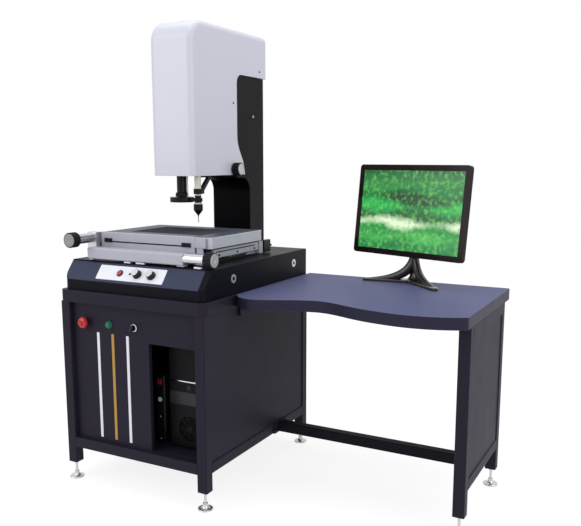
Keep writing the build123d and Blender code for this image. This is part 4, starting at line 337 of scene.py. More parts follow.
# Gloss black on the column's ground front, charcoal texture on its cast flanks.
COLUMN_GLOSS = sprayed_coat("gloss_black_enamel_sprayed", "#050508", "#1c1c22", 0.34, 7.0, 0.04,
                            sheen_level=0.03)
COLUMN_TEXTURE = sprayed_coat("charcoal_texture_paint", "#0c0a0e", "#2e2b31", 0.55, 3.0, 0.14,
                              sheen_level=0.12)
# Stoved enamels are baked hard and flow out flat: a clean white plate, a creamy shank.
PLATE_ENAMEL = sprayed_coat("white_stoved_enamel", "#e9ebf0", "#ffffff", 0.30, 8.0, 0.03,
                            cloud=0.02)
CREAM_ENAMEL = sprayed_coat("cream_stoved_enamel", "#d9d5c6", "#efece2", 0.32, 5.0, 0.03,
                            cloud=0.05)
# Thin black paint on the computer's case, with a faint shine from the bay's mouth.
CASE_STEEL = sprayed_coat("computer_case_painted_steel", "#0a0a0c", "#222328", 0.42, 3.0, 0.1,
                          sheen_level=0.1)
print("paints: powder, lacquer, enamel, structure paint and texture paint")

# %% [markdown]
# ## Metals
#
# The stage, the beams and the tubes are aluminium, blasted with glass beads and
# anodised silver: even, pale and soft to the light. Guide rails are ground steel
# with fine lines along their length, and rings and bezels are plated with chrome.
# A bare metal needs no colour pattern; its look is in how rough it is, and in
# which direction, so the noise is stretched along the cut and drives roughness.
# Anodising is a clear or dyed skin on the metal, so most of it is set less metallic.

# %% Blasted, ground and plated metal
STAIN_SIZE = 60 * MM
STAIN_SHADE = 0.88
METAL_EDGE = 0.8 * MM


def worked_metal(name, base, roughness, spread, grain, relief_mm, metallic=1.0, sheen_level=0.5):
    """Bare or anodised metal. grain is the size in mm of the tool's marks along X, Y and Z."""
    tree, place = start_finish(name)
    stretch = {"Vector": place, "Scale": tuple(1 / (size * MM) for size in grain)}
    marks = noise(tree, add(tree, "ShaderNodeMapping", stretch).outputs[0], 1.0, 3.0)
    stain = noise(tree, place, STAIN_SIZE, 4.0)
    return close_finish(tree, name, {
        "Base Color": blend(tree, stain, colour(base), tinted(base, STAIN_SHADE)),
        "Metallic": metallic, "Specular IOR Level": sheen_level,
        "Roughness": remap(tree, marks, *NOISE_RANGE, roughness - spread, roughness + spread),
        "Normal": relief(tree, marks, relief_mm * MM, rounded_edges(tree, METAL_EDGE))})


# Glass beads leave dimples of about 0.1 mm; drawn at 2 mm, they show as a soft grain.
SILVER_ANODISED = worked_metal("silver_anodised_aluminium_blasted", "#c4c4cd", 0.50, 0.05,
                               (2, 2, 2), 0.03, metallic=0.3)
# The beam and the scale housing are extruded; with the carriage they sit under the stage, and their
# silver is set a shade darker as painted shade.
SHADED_SILVER_EXTRUDED = worked_metal("silver_anodised_aluminium_extruded_painted_shade", "#b1b1bc", 0.48, 0.05,
                               (30, 2, 2), 0.02, metallic=0.3)
# The drive tubes are turned and polished, so they run brighter than the plates.
SILVER_TURNED = worked_metal("silver_anodised_aluminium_turned", "#c9c9ce", 0.30, 0.05,
                             (1, 1, 1), 0.01)
# Slate anodising on the stage's top face, dark against its silver sides.
SLATE_ANODISED = worked_metal("slate_anodised_aluminium_milled", "#4c525b", 0.42, 0.06,
                              (40, 2, 2), 0.02, metallic=0.05, sheen_level=0.08)
# Ground rails: long fine lines that smear the light across them.
GROUND_STEEL = worked_metal("bearing_steel_ground", "#b4b6bb", 0.26, 0.08, (60, 1.2, 1.2), 0.01)
# Chrome mirrors the studio almost sharply.
CHROME = worked_metal("bright_chrome_plated", "#dfe1e6", 0.10, 0.03, (6, 6, 6), 0.004)
# Dyed black and turned: dark, with a thin satin band of light round each barrel.
BLACK_ANODISED = worked_metal("black_anodised_aluminium_turned", "#0e0e11", 0.34, 0.05,
                              (4, 4, 1), 0.01, metallic=0.3, sheen_level=0.2)
# The X wheel's disc is set a darker grey than the other two.
DARKER_DISC = worked_metal("darker_grey_anodised_aluminium", "#8e8e8b", 0.40, 0.06,
                         (3, 3, 3), 0.01, metallic=0.4)
# The other handwheels' discs are faced on the lathe: grey, with a soft ring of light.
FACED_DISC = worked_metal("grey_anodised_aluminium_faced", "#c3c3c4", 0.34, 0.06,
                          (3, 3, 3), 0.01, metallic=0.55)
# Satin zinc on feet, sockets and plain screws: bright, but never a mirror.
SATIN_ZINC = worked_metal("satin_zinc_plated_steel", "#d3d3d0", 0.30, 0.06,
                          (8, 8, 2), 0.01, metallic=0.8)
print("metals: bead-blasted, extruded, turned, milled, ground, faced, chrome and zinc")

# %% [markdown]
# ## Plastics
#
# Buttons, knobs and the monitor's shell are moulded. A moulded skin copies its
# steel mould, so it is either polished or spark-eroded to a fine grain, and its
# colour is even all through. Wide, weak waves in the gloss are what give it away.

# %% Moulded plastic
HANDLED_SIZE = 35 * MM
PLASTIC_EDGE = 0.7 * MM
FINEST_ROUGHNESS = 0.03


def moulded(name, base, roughness, grain_mm, relief_mm, coat=0.0, cloud=0.06, sheen_level=0.5):
    """ABS or a like plastic. grain_mm is the mould's texture, wide where it is polished."""
    tree, place = start_finish(name)
    grain = noise(tree, place, grain_mm * MM, 2.0)
    handled = noise(tree, place, HANDLED_SIZE, 4.0)
    smooth = max(FINEST_ROUGHNESS, roughness - 0.04)
    return close_finish(tree, name, {
        "Base Color": blend(tree, handled, colour(base), tinted(base, 1 - cloud)),
        "Roughness": remap(tree, handled, *NOISE_RANGE, smooth, roughness + 0.06),
        "IOR": 1.49, "Specular IOR Level": sheen_level, "Coat Weight": coat, "Coat Roughness": 0.05,
        "Normal": relief(tree, grain, relief_mm * MM, rounded_edges(tree, PLASTIC_EDGE))})


# Nylon knobs and handles: a fine grain that spreads the light.
BLACK_PLASTIC = moulded("black_nylon_moulded", "#0d0d10", 0.42, 1.5, 0.03, sheen_level=0.35)
# The monitor's front shell: polished, nearly black, warm brown where it catches light.
GLOSS_SHELL = moulded("brown_black_abs_polished", "#1a0c0d", 0.16, 40, 0.02, coat=0.06,
                      sheen_level=0.12)
# Its stand is a lighter, smoked brown, with a clear gloss along the curves.
SMOKED_STAND = moulded("smoked_brown_abs_polished", "#2b2624", 0.26, 30, 0.02, coat=0.3,
                       sheen_level=0.4)
# Its back is spark-eroded, and swallows light.
REAR_SHELL = moulded("black_abs_spark_eroded", "#0c0b0c", 0.48, 1.4, 0.05, sheen_level=0.12)
# Controls: hard, glossy and deep in colour, so that a finger finds them.
RED_BUTTON = moulded("red_urea_polished", "#b30c10", 0.20, 20, 0.01, coat=0.1, sheen_level=0.3)
# A lighter red for the raised ring on the emergency stop: a painted highlight.
RED_RING_PAINTED_HIGHLIGHT = moulded("red_urea_ring_painted_highlight", "#d8443f", 0.14, 20, 0.01, coat=0.5)
CRIMSON_BUTTON = moulded("crimson_abs_polished", "#a83048", 0.28, 20, 0.01, coat=0.3)
GREEN_LENS = moulded("emerald_acrylic_polished", "#0b6b4a", 0.2, 20, 0.01, coat=0.2,
                     sheen_level=0.3)
# Extruded strips on the cabinet's front: even and soft, faintly uneven in gloss.
WHITE_STRIP = moulded("white_pvc_extruded", "#eceaf2", 0.38, 12, 0.02, cloud=0.03)
AMBER_STRIP = moulded("amber_pvc_extruded", "#b98d33", 0.38, 12, 0.02, cloud=0.08)
# The computer's front, grained and dark, and white parts that the eye takes for lamps.
GREY_PLASTIC = moulded("dark_abs_spark_eroded", "#0b0b0e", 0.40, 1.4, 0.05, sheen_level=0.12)
WHITE_PLASTIC = moulded("white_abs_moulded", "#e9e9ea", 0.35, 12, 0.02, cloud=0.03)
print("plastics: nylon, ABS, urea, acrylic and PVC")

# %% [markdown]
# ## Glass and the lit screen
#
# The stage carries a pane of float glass, to light a part from below. Real glass
# shows what lies under it, here the dark of the unlit contour lamp, and seen this
# flat it would mirror the white room over that. In the picture it stays dark, so
# the pane is a dark, smooth skin whose specular level is zero.
# The monitor shows a plain wallpaper: wooded green hills round a pale lake, made up
# for this model. It is drawn by nodes in the screen's own width and height.

# %% Float glass
GLASS_WAVE = 80 * MM


def float_glass(name):
    """Glass over the dark, with slow waves in its polish."""
    tree, place = start_finish(name)
    wave = noise(tree, place, GLASS_WAVE, 1.0)
    return close_finish(tree, name, {
        "Base Color": colour("#454a51"),
        "Roughness": remap(tree, wave, *NOISE_RANGE, 0.01, 0.05),
        "IOR": 1.52, "Specular IOR Level": 0.0,
        "Normal": relief(tree, wave, 0.05 * MM, strength=0.4)})


FLOAT_GLASS = float_glass("clear_float_glass")
print("glass:", FLOAT_GLASS.name)

# %% The screen's own width and height
def middle(node):
    """The middle of a solid's box."""
    low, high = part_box(node)
    return (low + high) / 2


screen_mid = middle("monitor_screen")
tilt = next(joint for joint in frame["joints"] if joint["name"] == "monitor_tilt")
SCREEN_RIGHT = Vector(tilt["axis"]).normalized()
if SCREEN_RIGHT.x < 0:
    SCREEN_RIGHT = -SCREEN_RIGHT
corners = [vertex.co.copy() for vertex in nodes["monitor_screen"].data.vertices]
reaches = [(corner - screen_mid).dot(SCREEN_RIGHT) for corner in corners]
SCREEN_WIDTH = max(reaches) - min(reaches)
rise = max(corners, key=lambda corner: corner.z) - min(corners, key=lambda corner: corner.z)
rise -= rise.dot(SCREEN_RIGHT) * SCREEN_RIGHT
SCREEN_UP = rise.normalized()
SCREEN_HEIGHT = rise.length
print("screen:", round(SCREEN_WIDTH / MM), "by", round(SCREEN_HEIGHT / MM), "mm")

# %% The wallpaper on the screen
TREE_SIZE = 22 * MM
LEAF_SIZE = 16 * MM
SCREEN_GLOW = 1.15
HILLS = [  # crest height and swing as shares of the screen's height, waves, their start, colour
    (0.30, 0.05, 5.0, 0.4, "#0f7a34"), (0.20, 0.05, 8.5, 2.1, "#0b4420"),
    (0.10, 0.06, 6.0, 4.0, "#1fa548"), (0.00, 0.04, 9.0, 1.2, "#12602c"),
    (-0.12, 0.03, 7.0, 3.0, "#dff3cd"), (-0.19, 0.04, 10.0, 5.1, "#1f8f3d"),
    (-0.29, 0.04, 6.5, 0.9, "#3fa84c"), (-0.38, 0.03, 12.0, 2.4, "#1c8040"),
]


def lit_screen(name):
    """Ragged bands of wooded hills round a pale lake, with glints and gloom between leaves."""
    tree, place = start_finish(name)
    local = counted_from(tree, place, screen_mid)
    u = maths(tree, "DIVIDE", dot(tree, local, SCREEN_RIGHT), SCREEN_WIDTH)
    v = maths(tree, "DIVIDE", dot(tree, local, SCREEN_UP), SCREEN_HEIGHT)
    trees = noise(tree, place, TREE_SIZE, 5.0)
    nearness = remap(tree, v, 0.5, -0.1, 0.0, 1.0)
    shade = blend(tree, nearness, colour("#125c2e"), colour("#52c45a"))
    for height, swing, waves, start, tint in HILLS:
        crest = maths(tree, "SINE", maths(tree, "MULTIPLY_ADD", u, waves, start))
        line = maths(tree, "MULTIPLY_ADD", crest, swing, height)
        ragged = maths(tree, "MULTIPLY_ADD", trees, 0.10, line)
        inside = remap(tree, maths(tree, "SUBTRACT", ragged, v), 0.01, 0.09, 0.0, 1.0)
        shade = blend(tree, inside, shade, colour(tint))
    leaves = noise(tree, place, LEAF_SIZE, 6.0)
    glints = remap(tree, leaves, 0.5, 0.85, 0.0, 0.6)
    gloom = remap(tree, leaves, 0.48, 0.2, 0.0, 0.55)
    shade = blend(tree, glints, shade, colour("#8ff070"))
    shade = blend(tree, gloom, shade, colour("#06331a"))
    return close_finish(tree, name, {
        "Base Color": colour("#050805"), "Roughness": 0.25, "IOR": 1.5,
        "Emission Color": shade, "Emission Strength": SCREEN_GLOW})


LIT_SCREEN = lit_screen("lit_panel_behind_film")
print("wallpaper:", len(HILLS), "bands of hills and lake")

# %% [markdown]
# ## Knurled rims
#
# Fingers need grip, so the handwheels and the zoom ring are knurled: a toothed
# wheel is pressed into the turning rim and leaves straight ridges about 2 mm apart.
# Ridges in the mesh would need thousands of faces. Here the angle round the axle
# is found from the coordinates, and a sine of it lifts the surface as relief.

# %% Straight knurling
RIDGE_PITCH = 2.2 * MM
RIDGE_HEIGHT = 0.5 * MM
RIDGE_TOP_ROUGHNESS = 0.42
RIDGE_FOOT_ROUGHNESS = 0.62


def knurled(name, base, centre, axis, ridges):
    """Black rim with straight ridges round an axle that runs along X, Y or Z through centre."""
    tree, place = start_finish(name)
    split = add(tree, "ShaderNodeSeparateXYZ", {0: counted_from(tree, place, centre)}).outputs
    across, up = [i for i in range(3) if i != "XYZ".index(axis)]
    angle = maths(tree, "ARCTAN2", split[across], split[up])
    tooth = maths(tree, "SINE", maths(tree, "MULTIPLY", angle, float(ridges)))
    height = remap(tree, tooth, -1.0, 1.0, 0.0, 1.0)
    worn = remap(tree, height, 0.7, 1.0, 0.0, 0.5)
    return close_finish(tree, name, {
        "Base Color": blend(tree, worn, colour(base), colour("#1e1e22")),
        "Roughness": remap(tree, height, 0.0, 1.0, RIDGE_FOOT_ROUGHNESS, RIDGE_TOP_ROUGHNESS),
        "IOR": 1.5, "Specular IOR Level": 0.2, "Normal": relief(tree, height, RIDGE_HEIGHT)})


WHEELS = {  # the axle's direction, and one across it in which the radius is measured
    "x_handwheel": ("Y", "X"), "y_handwheel": ("X", "Z"), "z_handwheel": ("X", "Z"),
    "zoom_ring": ("Z", "X"),
}
KNURLS = {}
for node, (axis, across) in WHEELS.items():
    low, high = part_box(node)
    radius = (high - low)["XYZ".index(across)] / 2
    ridges = round(2 * pi * radius / RIDGE_PITCH)
    KNURLS[node] = knurled("black_knurled_rim_of_" + node, "#09090b", middle(node), axis, ridges)
    print(node, "radius", round(radius / MM, 1), "mm,", ridges, "ridges")

# %% [markdown]
# ## Dressing the solids
#
# Each solid gets one finish, and some need two: the stage is silver with a dark
# top, and a handwheel is a black rim with a silver face. A solid's mesh must stay
# as it is, but each of its faces may point to another material slot, so a small
# test on the face's middle, normal or points chooses which take the second finish.

# %% One finish per solid, and a second one where a test says so
Spot = namedtuple("Spot", "mid normal points")


def dress(names, finish):
    """Gives whole solids one finish."""
    for name in names.split():
        nodes[name].data.materials.clear()
        nodes[name].data.materials.append(finish)
        for face in nodes[name].data.polygons:
            face.material_index = 0


def touch_up(name, finish, test):
    """Gives the faces of a solid that pass the test another finish."""
    mesh = nodes[name].data
    mesh.materials.append(finish)
    count = 0
    for face in mesh.polygons:
        if test(Spot(face.center, face.normal, [mesh.vertices[i].co for i in face.vertices])):
            face.material_index = len(mesh.materials) - 1
            count += 1
    print(name, "has", count, "faces of", finish.name)


def off_axle(point, centre, axis):
    """How far a point lies from an axle along X, Y or Z through centre."""
    away = point - centre
    away["XYZ".index(axis)] = 0
    return away.length


dress("cabinet_legs cabinet_lower_rails cabinet_top cabinet_front_panel cabinet_panels",
      SLATE_POWDER)
dress("desk_frame desk_fittings", SLATE_POWDER)
# The stretcher bar's darker powder is painted shade.
dress("stretcher_bar", SHADED_POWDER)
dress("desk_top", DESK_LACQUER)
dress("foot_pads foot_stems lifting_sockets", SATIN_ZINC)
dress("control_bezels", CHROME)
dress("panel_fittings", BLACK_ANODISED)
dress("trim_strips", WHITE_STRIP)
dress("estop_head", RED_BUTTON)
dress("start_button", GREEN_LENS)
dress("selector_handle left_light_knob right_light_knob contour_light computer_button",
      BLACK_PLASTIC)
dress("computer_case power_supply", CASE_STEEL)
dress("computer_front", GREY_PLASTIC)
dress("machine_base base_front_cover", BASE_ENAMEL)
dress("control_plate", PLATE_ENAMEL)
dress("panel_button", CRIMSON_BUTTON)
dress("y_guide_rails x_guide_rails z_guide_rails x_guide_blocks", GROUND_STEEL)
dress("x_stage z_carriage lens_bracket", SILVER_ANODISED)
# Parts under the stage take the darker silver: painted shade.
dress("y_carriage front_beam x_scale_housing", SHADED_SILVER_EXTRUDED)
dress("drive_tubes", SILVER_TURNED)
dress("stage_glass", FLOAT_GLASS)
dress("column", COLUMN_GLOSS)
dress("column_rear_cover", COLUMN_TEXTURE)
dress("head_cover", HEAD_LACQUER)
dress("head_brackets camera", COLUMN_TEXTURE)
# The low Y scale cover is black: partly its own finish, partly painted shade that fills the dark
# line under the carriage.
dress("zoom_lens ring_light probe_body probe_clamp y_scale_cover", BLACK_ANODISED)
dress("probe_shank", CREAM_ENAMEL)
dress("monitor_bezel", GLOSS_SHELL)
dress("monitor_stand", SMOKED_STAND)
dress("monitor_rear_cover", REAR_SHELL)
dress("monitor_screen", LIT_SCREEN)
for node, finish in KNURLS.items():
    dress(node, finish)
print("dressed", len(nodes), "solids")

# %% Second finishes on the stage, the desk and the column
stage_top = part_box("x_stage")[1].z
touch_up("x_stage", SLATE_ANODISED,
         lambda spot: spot.normal.z > 0.9 and spot.mid.z > stage_top - 1 * MM)
# Faces of the desk top that do not look up take the darker lacquer: painted shade.
touch_up("desk_top", SHADED_EDGE_LACQUER, lambda spot: spot.normal.z < 0.5)
touch_up("column", COLUMN_TEXTURE, lambda spot: abs(spot.normal.x) > 0.7)

# %% Black parts of the scale housing: end switch, end blocks and groove
SWITCH_START = 0.125
HOUSING_FACE = -0.2648
GROOVE_DEPTH = 4 * MM
GROOVE = (0.9068, 0.9122)
END_BLOCK = (0.9068, 0.9222)


def between(points, front, heights):
    """Whether all points lie in front of a plane and between two heights."""
    return all(p.y < front and heights[0] < p.z < heights[1] for p in points)


touch_up("x_scale_housing", BLACK_ANODISED, lambda spot: spot.mid.y > SWITCH_START)
touch_up("x_scale_housing", BLACK_ANODISED,
         lambda spot: between(spot.points, HOUSING_FACE, END_BLOCK))
touch_up("x_scale_housing", BLACK_ANODISED,
         lambda spot: between(spot.points, HOUSING_FACE + GROOVE_DEPTH, GROOVE))

# %% Second finishes on the strips and the bezels
MIDDLE_STRIP = 12 * MM
START_BEZEL = 17 * MM
ESTOP_BEZEL = 40 * MM
strip_x = middle("trim_strips").x
start_x = middle("start_button").x
touch_up("trim_strips", AMBER_STRIP, lambda spot: abs(spot.mid.x - strip_x) < MIDDLE_STRIP)
touch_up("control_bezels", BLACK_ANODISED, lambda spot: spot.mid.x < start_x - ESTOP_BEZEL)
touch_up("control_bezels", GREEN_LENS, lambda spot: abs(spot.mid.x - start_x) < START_BEZEL)

# %% Second finishes on the sloped panel
PANEL_SHEET = 1.3 * MM
KNOB_CAP = 1.6 * MM
base_low, base_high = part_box("machine_base")
CLIP_ROW = base_low.y + 15 * MM
CLIP_HEIGHTS = (base_high.z - 1 * MM, base_high.z + 9 * MM)


def area_facing_up(face):
    """A face's area if it looks up, else nothing."""
    return face.area if face.normal.z > 0.1 else 0


slope = max(nodes["control_plate"].data.polygons, key=area_facing_up).normal.copy()
panel_depth = min(v.co.dot(slope) for v in nodes["control_plate"].data.vertices)
touch_up("control_plate", COVER_PAINT,
         lambda spot: spot.mid.dot(slope) < panel_depth + PANEL_SHEET)
for node in ("left_light_knob", "right_light_knob"):
    cap_from = max(v.co.dot(slope) for v in nodes[node].data.vertices) - KNOB_CAP
    touch_up(node, CHROME, lambda spot: spot.mid.dot(slope) > cap_from)
touch_up("panel_fittings", WHITE_PLASTIC,
         lambda spot: spot.mid.y < CLIP_ROW and CLIP_HEIGHTS[0] < spot.mid.z < CLIP_HEIGHTS[1])

# %% Face discs of the handwheels
RIM_WIDTH = 3.9 * MM
DISC_DEPTH = 4 * MM
DISCS = {  # the axle, which end of it carries the disc, and the finish
    "x_handwheel": ("Y", 0, DARKER_DISC), "y_handwheel": ("X", 1, FACED_DISC),
    "z_handwheel": ("X", 1, FACED_DISC),
}


def on_disc(spot, axis, face_at, hub, radius):
    """Whether a face of a wheel lies near its end and inside its rim."""
    near = abs(spot.mid["XYZ".index(axis)] - face_at) < DISC_DEPTH
    return near and all(off_axle(point, hub, axis) < radius for point in spot.points)


for node, (axis, end, finish) in DISCS.items():
    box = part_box(node)
    face_at = box[end]["XYZ".index(axis)]
    hub = middle(node)
    radius = (box[1].z - box[0].z) / 2 - RIM_WIDTH
    touch_up(node, finish, lambda spot: on_disc(spot, axis, face_at, hub, radius))

# %% Second finishes on the lifting sockets and the probe's shank
BORE_RADIUS = 7.4 * MM
SHANK_BAND_TOP = 1.080
SHANK_TIP_TOP = 1.053
socket_low, socket_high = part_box("lifting_sockets")
SOCKET_RADIUS = (socket_high.z - socket_low.z) / 2
socket_rows = (socket_low.y + SOCKET_RADIUS, socket_high.y - SOCKET_RADIUS)
socket_z = middle("lifting_sockets").z


def off_socket(point):
    """How far a point lies from the nearest socket's axis."""
    return min(hypot(point.y - row, point.z - socket_z) for row in socket_rows)


# The faces inside each socket's bore are painted black: painted shade in the hole.
touch_up("lifting_sockets", BLACK_ANODISED,
         lambda spot: all(off_socket(p) < BORE_RADIUS for p in spot.points))
touch_up("probe_shank", BLACK_ANODISED, lambda spot: spot.mid.z < SHANK_BAND_TOP)
touch_up("probe_shank", WHITE_PLASTIC, lambda spot: spot.mid.z < SHANK_TIP_TOP)

# %% [markdown]
# ## Turned details
#
# A solid model stops at what carries load. The eye misses what is bolted on: socket
# screws, the lamps in the ring light, the lens of the power strip. Most of these
# are turned parts, so one helper sweeps a list of rings round an axis. A hexagon in
# the list makes the recess for the key. Many copies go into one mesh, which keeps
# the list of pieces short.

# %% Rings swept into turned pieces
SHARP_ANGLE = 35


def lathed(name, rings, places, axis, finish, body, hexes=(), sides=24):
    """Turned pieces, one at each place in mm.

    rings are (radius, height) in mm from the seat outward; equal first and last rings
    close a hoop. hexes lists the rings that are hexagons.
    """
    shape = bmesh.new()
    hoop = rings[0] == rings[-1]
    turn = Vector(axis).to_track_quat("Z", "Y").to_matrix().to_4x4()
    for place in places:
        seat = Matrix.Translation(Vector(place) * MM) @ turn
        loops = []
        for index, (radius, height) in enumerate(rings[:-1] if hoop else rings):
            loop = []
            for side in range(sides):
                angle = 2 * pi * side / sides
                flat = cos(pi / 6) / cos(angle % (pi / 3) - pi / 6) if index in hexes else 1
                reach = radius * flat
                point = Vector((reach * cos(angle), reach * sin(angle), height)) * MM
                loop.append(shape.verts.new(seat @ point))
            loops.append(loop)
        for lower, upper in zip(loops, loops[1:] + (loops[:1] if hoop else [])):
            bridge(shape, lower, upper)
        if not hoop:
            shape.faces.new(loops[0][::-1])
            shape.faces.new(loops[-1])
    bmesh.ops.recalc_face_normals(shape, faces=shape.faces)
    return settle(name, shape, finish, body)


def bridge(shape, lower, upper):
    """Joins two loops of the same length with a ring of four-sided faces."""
    for side in range(len(lower)):
        after = (side + 1) % len(lower)
        shape.faces.new((lower[side], lower[after], upper[after], upper[side]))


def settle(name, shape, finish, body):
    """Turns a finished bmesh into a smooth piece that rides on its body."""
    mesh = bpy.data.meshes.new(name)
    shape.to_mesh(mesh)
    shape.free()
    mesh.shade_smooth()
    mesh.set_sharp_from_angle(angle=radians(SHARP_ANGLE))
    mesh.materials.append(finish)
    piece = bpy.data.objects.new(name, mesh)
    scene.collection.objects.link(piece)
    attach(piece, body)
    print(name, "has", len(mesh.polygons), "faces")
    return piece


def socket_screws(name, radius, places, axis, body, finish=BLACK_ANODISED):
    """Hexagon socket cap screws, seated 1 mm deep."""
    head = radius * 0.9
    key = radius * 0.6
    rings = [(radius, -1), (radius, head - 0.5), (radius - 0.5, head), (key, head),
             (key, head * 0.35)]
    lathed(name, rings, places, axis, finish, body, hexes=(3, 4))


# %% Screws of the column and the ring of the emergency stop
COLUMN_SIDE = -326.5
COVER_BACK = 400
COVER_SCREW_COLUMNS = (-495, -342)
COVER_SCREW_ROWS = (880, 1100, 1320, 1520)
ESTOP_RING = [(13, -5), (15.5, -5), (15.5, -2.6), (14.6, -2.0), (13.4, -1.8), (13, -2.2), (13, -5)]

socket_screws("column_side_screws", 5.0, [(COLUMN_SIDE, 303, 1390)], (1, 0, 0), "station",
              SATIN_ZINC)
socket_screws("rear_cover_screws", 4.0,
              [(x, COVER_BACK, z) for x in COVER_SCREW_COLUMNS for z in COVER_SCREW_ROWS],
              (0, 1, 0), "station", CHROME)
estop_mid = middle("estop_head") / MM
estop_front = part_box("estop_head")[0].y / MM
# The raised ring on the mushroom head is painted a lighter red as a painted highlight.
lathed("estop_ring", ESTOP_RING, [(estop_mid.x, estop_front, estop_mid.z)], (0, -1, 0), RED_RING_PAINTED_HIGHLIGHT,
       "estop_head", sides=40)

# %% Lamps and glass under the head
LENS_X, LENS_Y = -418.5, -76
DIFFUSER_SEAT = 1054
LAMP_SEAT = 1055.5
LENS_SEAT = 1056
LAMP_COUNT = 20
LAMP_CIRCLE = 33.5

lathed("ring_light_diffuser", [(25.3, 1.5), (41.7, 1.5), (41.7, 3.5), (25.3, 3.5), (25.3, 1.5)],
       [(LENS_X, LENS_Y, DIFFUSER_SEAT)], (0, 0, 1), WHITE_PLASTIC, "z_carriage",
       sides=48)
lamp_angles = [2 * pi * i / LAMP_COUNT for i in range(LAMP_COUNT)]
lathed("ring_light_lamps", [(2.6, -0.5), (2.6, 0.4), (1.6, 1.2)],
       [(LENS_X + LAMP_CIRCLE * cos(a), LENS_Y + LAMP_CIRCLE * sin(a), LAMP_SEAT)
        for a in lamp_angles],
       (0, 0, -1), CREAM_ENAMEL, "z_carriage", sides=12)
lathed("lens_front_glass", [(16, -1), (15.6, 0.3), (11, 1.0), (4, 1.4)],
       [(LENS_X, LENS_Y, LENS_SEAT)], (0, 0, -1), FLOAT_GLASS, "z_carriage", sides=40)

# %% [markdown]
# ## The cabinet's bay
#
# Behind the mouth stands the computer, and beside it a power strip with a red rocker
# switch. They sit in the dark, so only outlines and a few bright spots reach the
# eye. A bevelled box with a lens and two lamps is enough for the strip.

# %% A power strip from soft-edged blocks
STRIP_X = -372
STRIP_HALF = 22
STRIP_FRONT = -306
STRIP_DEPTH = 40
STRIP_HEIGHTS = (169, 430)
ROCKER_HALF = 9
ROCKER_HEIGHTS = (396, 416)
STRIP_LENS_HEIGHT = 338
STRIP_LAMP_HEIGHTS = (272, 186)


def soft_block(name, low, high, finish, body, edge):
    """A moulded block between two corners in mm, its edges rounded in three steps."""
    shape = bmesh.new()
    bmesh.ops.create_cube(shape, size=1)
    size = Vector(high) - Vector(low)
    centre = (Vector(high) + Vector(low)) / 2
    for vertex in shape.verts:
        vertex.co = Vector([centre[i] + vertex.co[i] * size[i] for i in range(3)]) * MM
    bmesh.ops.bevel(shape, geom=shape.edges[:], offset=edge * MM, segments=3, profile=0.5,
                    affect="EDGES")
    return settle(name, shape, finish, body)


soft_block("power_strip_body", (STRIP_X - STRIP_HALF, STRIP_FRONT, STRIP_HEIGHTS[0]),
           (STRIP_X + STRIP_HALF, STRIP_FRONT + STRIP_DEPTH, STRIP_HEIGHTS[1]),
           BLACK_PLASTIC, "station", 4)
soft_block("power_strip_rocker", (STRIP_X - ROCKER_HALF, STRIP_FRONT - 4, ROCKER_HEIGHTS[0]),
           (STRIP_X + ROCKER_HALF, STRIP_FRONT + 2, ROCKER_HEIGHTS[1]),
           RED_BUTTON, "station", 1.5)
lathed("power_strip_lens", [(9, -1), (9, 1.2), (8, 2), (6, 2), (5.6, 0.8)],
       [(STRIP_X, STRIP_FRONT, STRIP_LENS_HEIGHT)], (0, -1, 0), WHITE_PLASTIC, "station")
lathed("power_strip_lamps", [(2.6, -1), (2.6, 0.6), (1.2, 1.4)],
       [(STRIP_X, STRIP_FRONT, z) for z in STRIP_LAMP_HEIGHTS], (0, -1, 0), WHITE_PLASTIC,
       "station")

# %% The computer's trim and its perforated intake
TRIM_INSETS = (4, 14)  # mm from the left and from the right of the computer's front
INTAKE_HEIGHTS = (338, 386)
TRIM_HEIGHTS = (424, 428)
HOLE_PITCH = 6 * MM
HOLE_RIM = (0.28, 0.36)


def perforated(name, base):
    """Black sheet with rows of punched holes; the real 3 mm pitch is drawn at 6 mm to show."""
    tree, place = start_finish(name)
    cells = {"Vector": place, "Scale": 1 / HOLE_PITCH, "Randomness": 0.0}
    away = add(tree, "ShaderNodeTexVoronoi", cells).outputs["Distance"]
    rim = remap(tree, away, *HOLE_RIM, 0.0, 1.0)
    return close_finish(tree, name, {
        "Base Color": blend(tree, rim, colour("#020203"), colour(base)),
        "Metallic": 0.5, "Roughness": 0.4, "Normal": relief(tree, rim, 0.8 * MM)})


front_low, front_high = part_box("computer_front")
trim_left, trim_right = front_low.x / MM + TRIM_INSETS[0], front_high.x / MM - TRIM_INSETS[1]
case_front = front_low.y / MM
soft_block("computer_intake", (trim_left, case_front - 1.5, INTAKE_HEIGHTS[0]),
           (trim_right, case_front + 1, INTAKE_HEIGHTS[1]),
           perforated("black_steel_sheet_punched", "#3a3a40"), "station", 1.0)
soft_block("computer_trim", (trim_left, case_front - 2, TRIM_HEIGHTS[0]),
           (trim_right, case_front + 1, TRIM_HEIGHTS[1]), CHROME, "station", 0.8)

# %% Marks on the drive's side housing
SIDE_FACE = -178.5
SLOT_HEIGHTS = (885, 889)
SLOT_ENDS = (-208, 62)
SIDE_SCREW_HEIGHT = 875

# A thin black strip stands for the slot: its black is painted shade inside the slot.
soft_block("side_housing_slot_painted_shade", (SIDE_FACE - 1, SLOT_ENDS[0], SLOT_HEIGHTS[0]),
           (SIDE_FACE + 0.8, SLOT_ENDS[1], SLOT_HEIGHTS[1]),
           BLACK_ANODISED, "y_carriage", 0.5)
socket_screws("side_housing_screws", 3.6,
              [(SIDE_FACE, y, SIDE_SCREW_HEIGHT) for y in (-190, -66, 58)], (1, 0, 0),
              "y_carriage")

# %% [markdown]
# ## The monitor's stand
#
# The neck of such a stand is one moulding that spreads into two long toes. In solids
# it is a post on a thin foot. Here each toe gets a fairing swept along a curve that
# starts straight down the neck and runs out flat: a smooth curve with four points
# does that, and an ellipse that narrows on its way gives the spreading form.

# %% Fairings from the neck to the toes
FAIRING_STEPS = 22
FAIRING_SIDES = 20
FLATTEST = 0.3
UP = Vector((0, 0, 1))


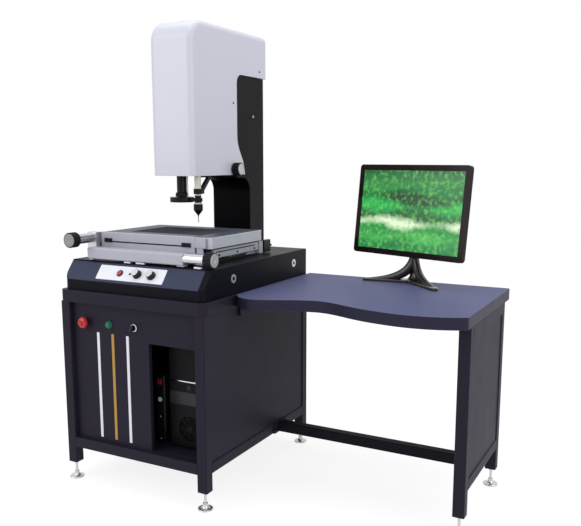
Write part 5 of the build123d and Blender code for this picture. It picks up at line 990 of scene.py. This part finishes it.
def fairing(name, spine, widths, heights, side_on, finish, body):
    """A tapering moulding along the four-point curve in spine, an ellipse at each step.

    widths and heights are the ellipse's half sizes in mm at the start, on the way and at
    the end; side_on is the direction of the width.
    """
    shape = bmesh.new()
    loops = []
    for step in range(FAIRING_STEPS + 1):
        t = step / FAIRING_STEPS
        s = 1 - t
        point = (s ** 3 * spine[0] + 3 * s * s * t * spine[1] + 3 * s * t * t * spine[2]
                 + t ** 3 * spine[3])
        ahead = (3 * s * s * (spine[1] - spine[0]) + 6 * s * t * (spine[2] - spine[1])
                 + 3 * t * t * (spine[3] - spine[2])).normalized()
        flat = side_on - side_on.dot(ahead) * ahead
        across = flat.normalized() if flat.length > FLATTEST else ahead.cross(UP).normalized()
        thick = ahead.cross(across)
        wide = s * s * widths[0] + 2 * s * t * widths[1] + t * t * widths[2]
        deep = s * s * heights[0] + 2 * s * t * heights[1] + t * t * heights[2]
        angles = [2 * pi * k / FAIRING_SIDES for k in range(FAIRING_SIDES)]
        loops.append([shape.verts.new(point + (cos(a) * wide * across + sin(a) * deep * thick) * MM)
                      for a in angles])
    for lower, upper in zip(loops, loops[1:]):
        bridge(shape, lower, upper)
    shape.faces.new(loops[0][::-1])
    shape.faces.new(loops[-1])
    bmesh.ops.recalc_face_normals(shape, faces=shape.faces)
    return settle(name, shape, finish, body)


TOE_HEIGHT = 6 * MM
NECK_FROM = 120 * MM
FAIRING_TOP = 128 * MM
STRAIGHT_DROP = Vector((0, 0, -85 * MM))

stand_points = [vertex.co for vertex in nodes["monitor_stand"].data.vertices]
stand_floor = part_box("monitor_stand")[0].z
toe_height = stand_floor + TOE_HEIGHT
neck_points = [p for p in stand_points if p.z > stand_floor + NECK_FROM]
neck_top = sum(neck_points, Vector()) / len(neck_points)
neck_top.z = stand_floor + FAIRING_TOP
neck_foot = Vector((neck_top.x, neck_top.y, toe_height))
left_toe = min(stand_points, key=lambda p: p.x)
right_toe = max(stand_points, key=lambda p: p.x)
for name, toe in (("stand_fairing_left", left_toe), ("stand_fairing_right", right_toe)):
    end = Vector((toe.x, toe.y, toe_height)) * 0.96 + neck_foot * 0.04
    spine = [neck_top, neck_top + STRAIGHT_DROP, neck_foot * 0.72 + end * 0.28, end]
    side_on = (end - neck_foot).cross(UP).normalized()
    fairing(name, spine, (13, 20, 7), (16, 26, 4), side_on, SMOKED_STAND, "station")
    print(name, "reaches", [round(c / MM) for c in end])

# %% A chrome tip on the right toe
lathed("stand_toe_tip", [(5.5, -6), (5.5, 0), (4.6, 2), (2.5, 3.2)],
       [(right_toe.x / MM - 4, right_toe.y / MM + 2, toe_height / MM)],
       Vector((right_toe.x - neck_top.x, right_toe.y - neck_top.y, 0)), CHROME, "station")
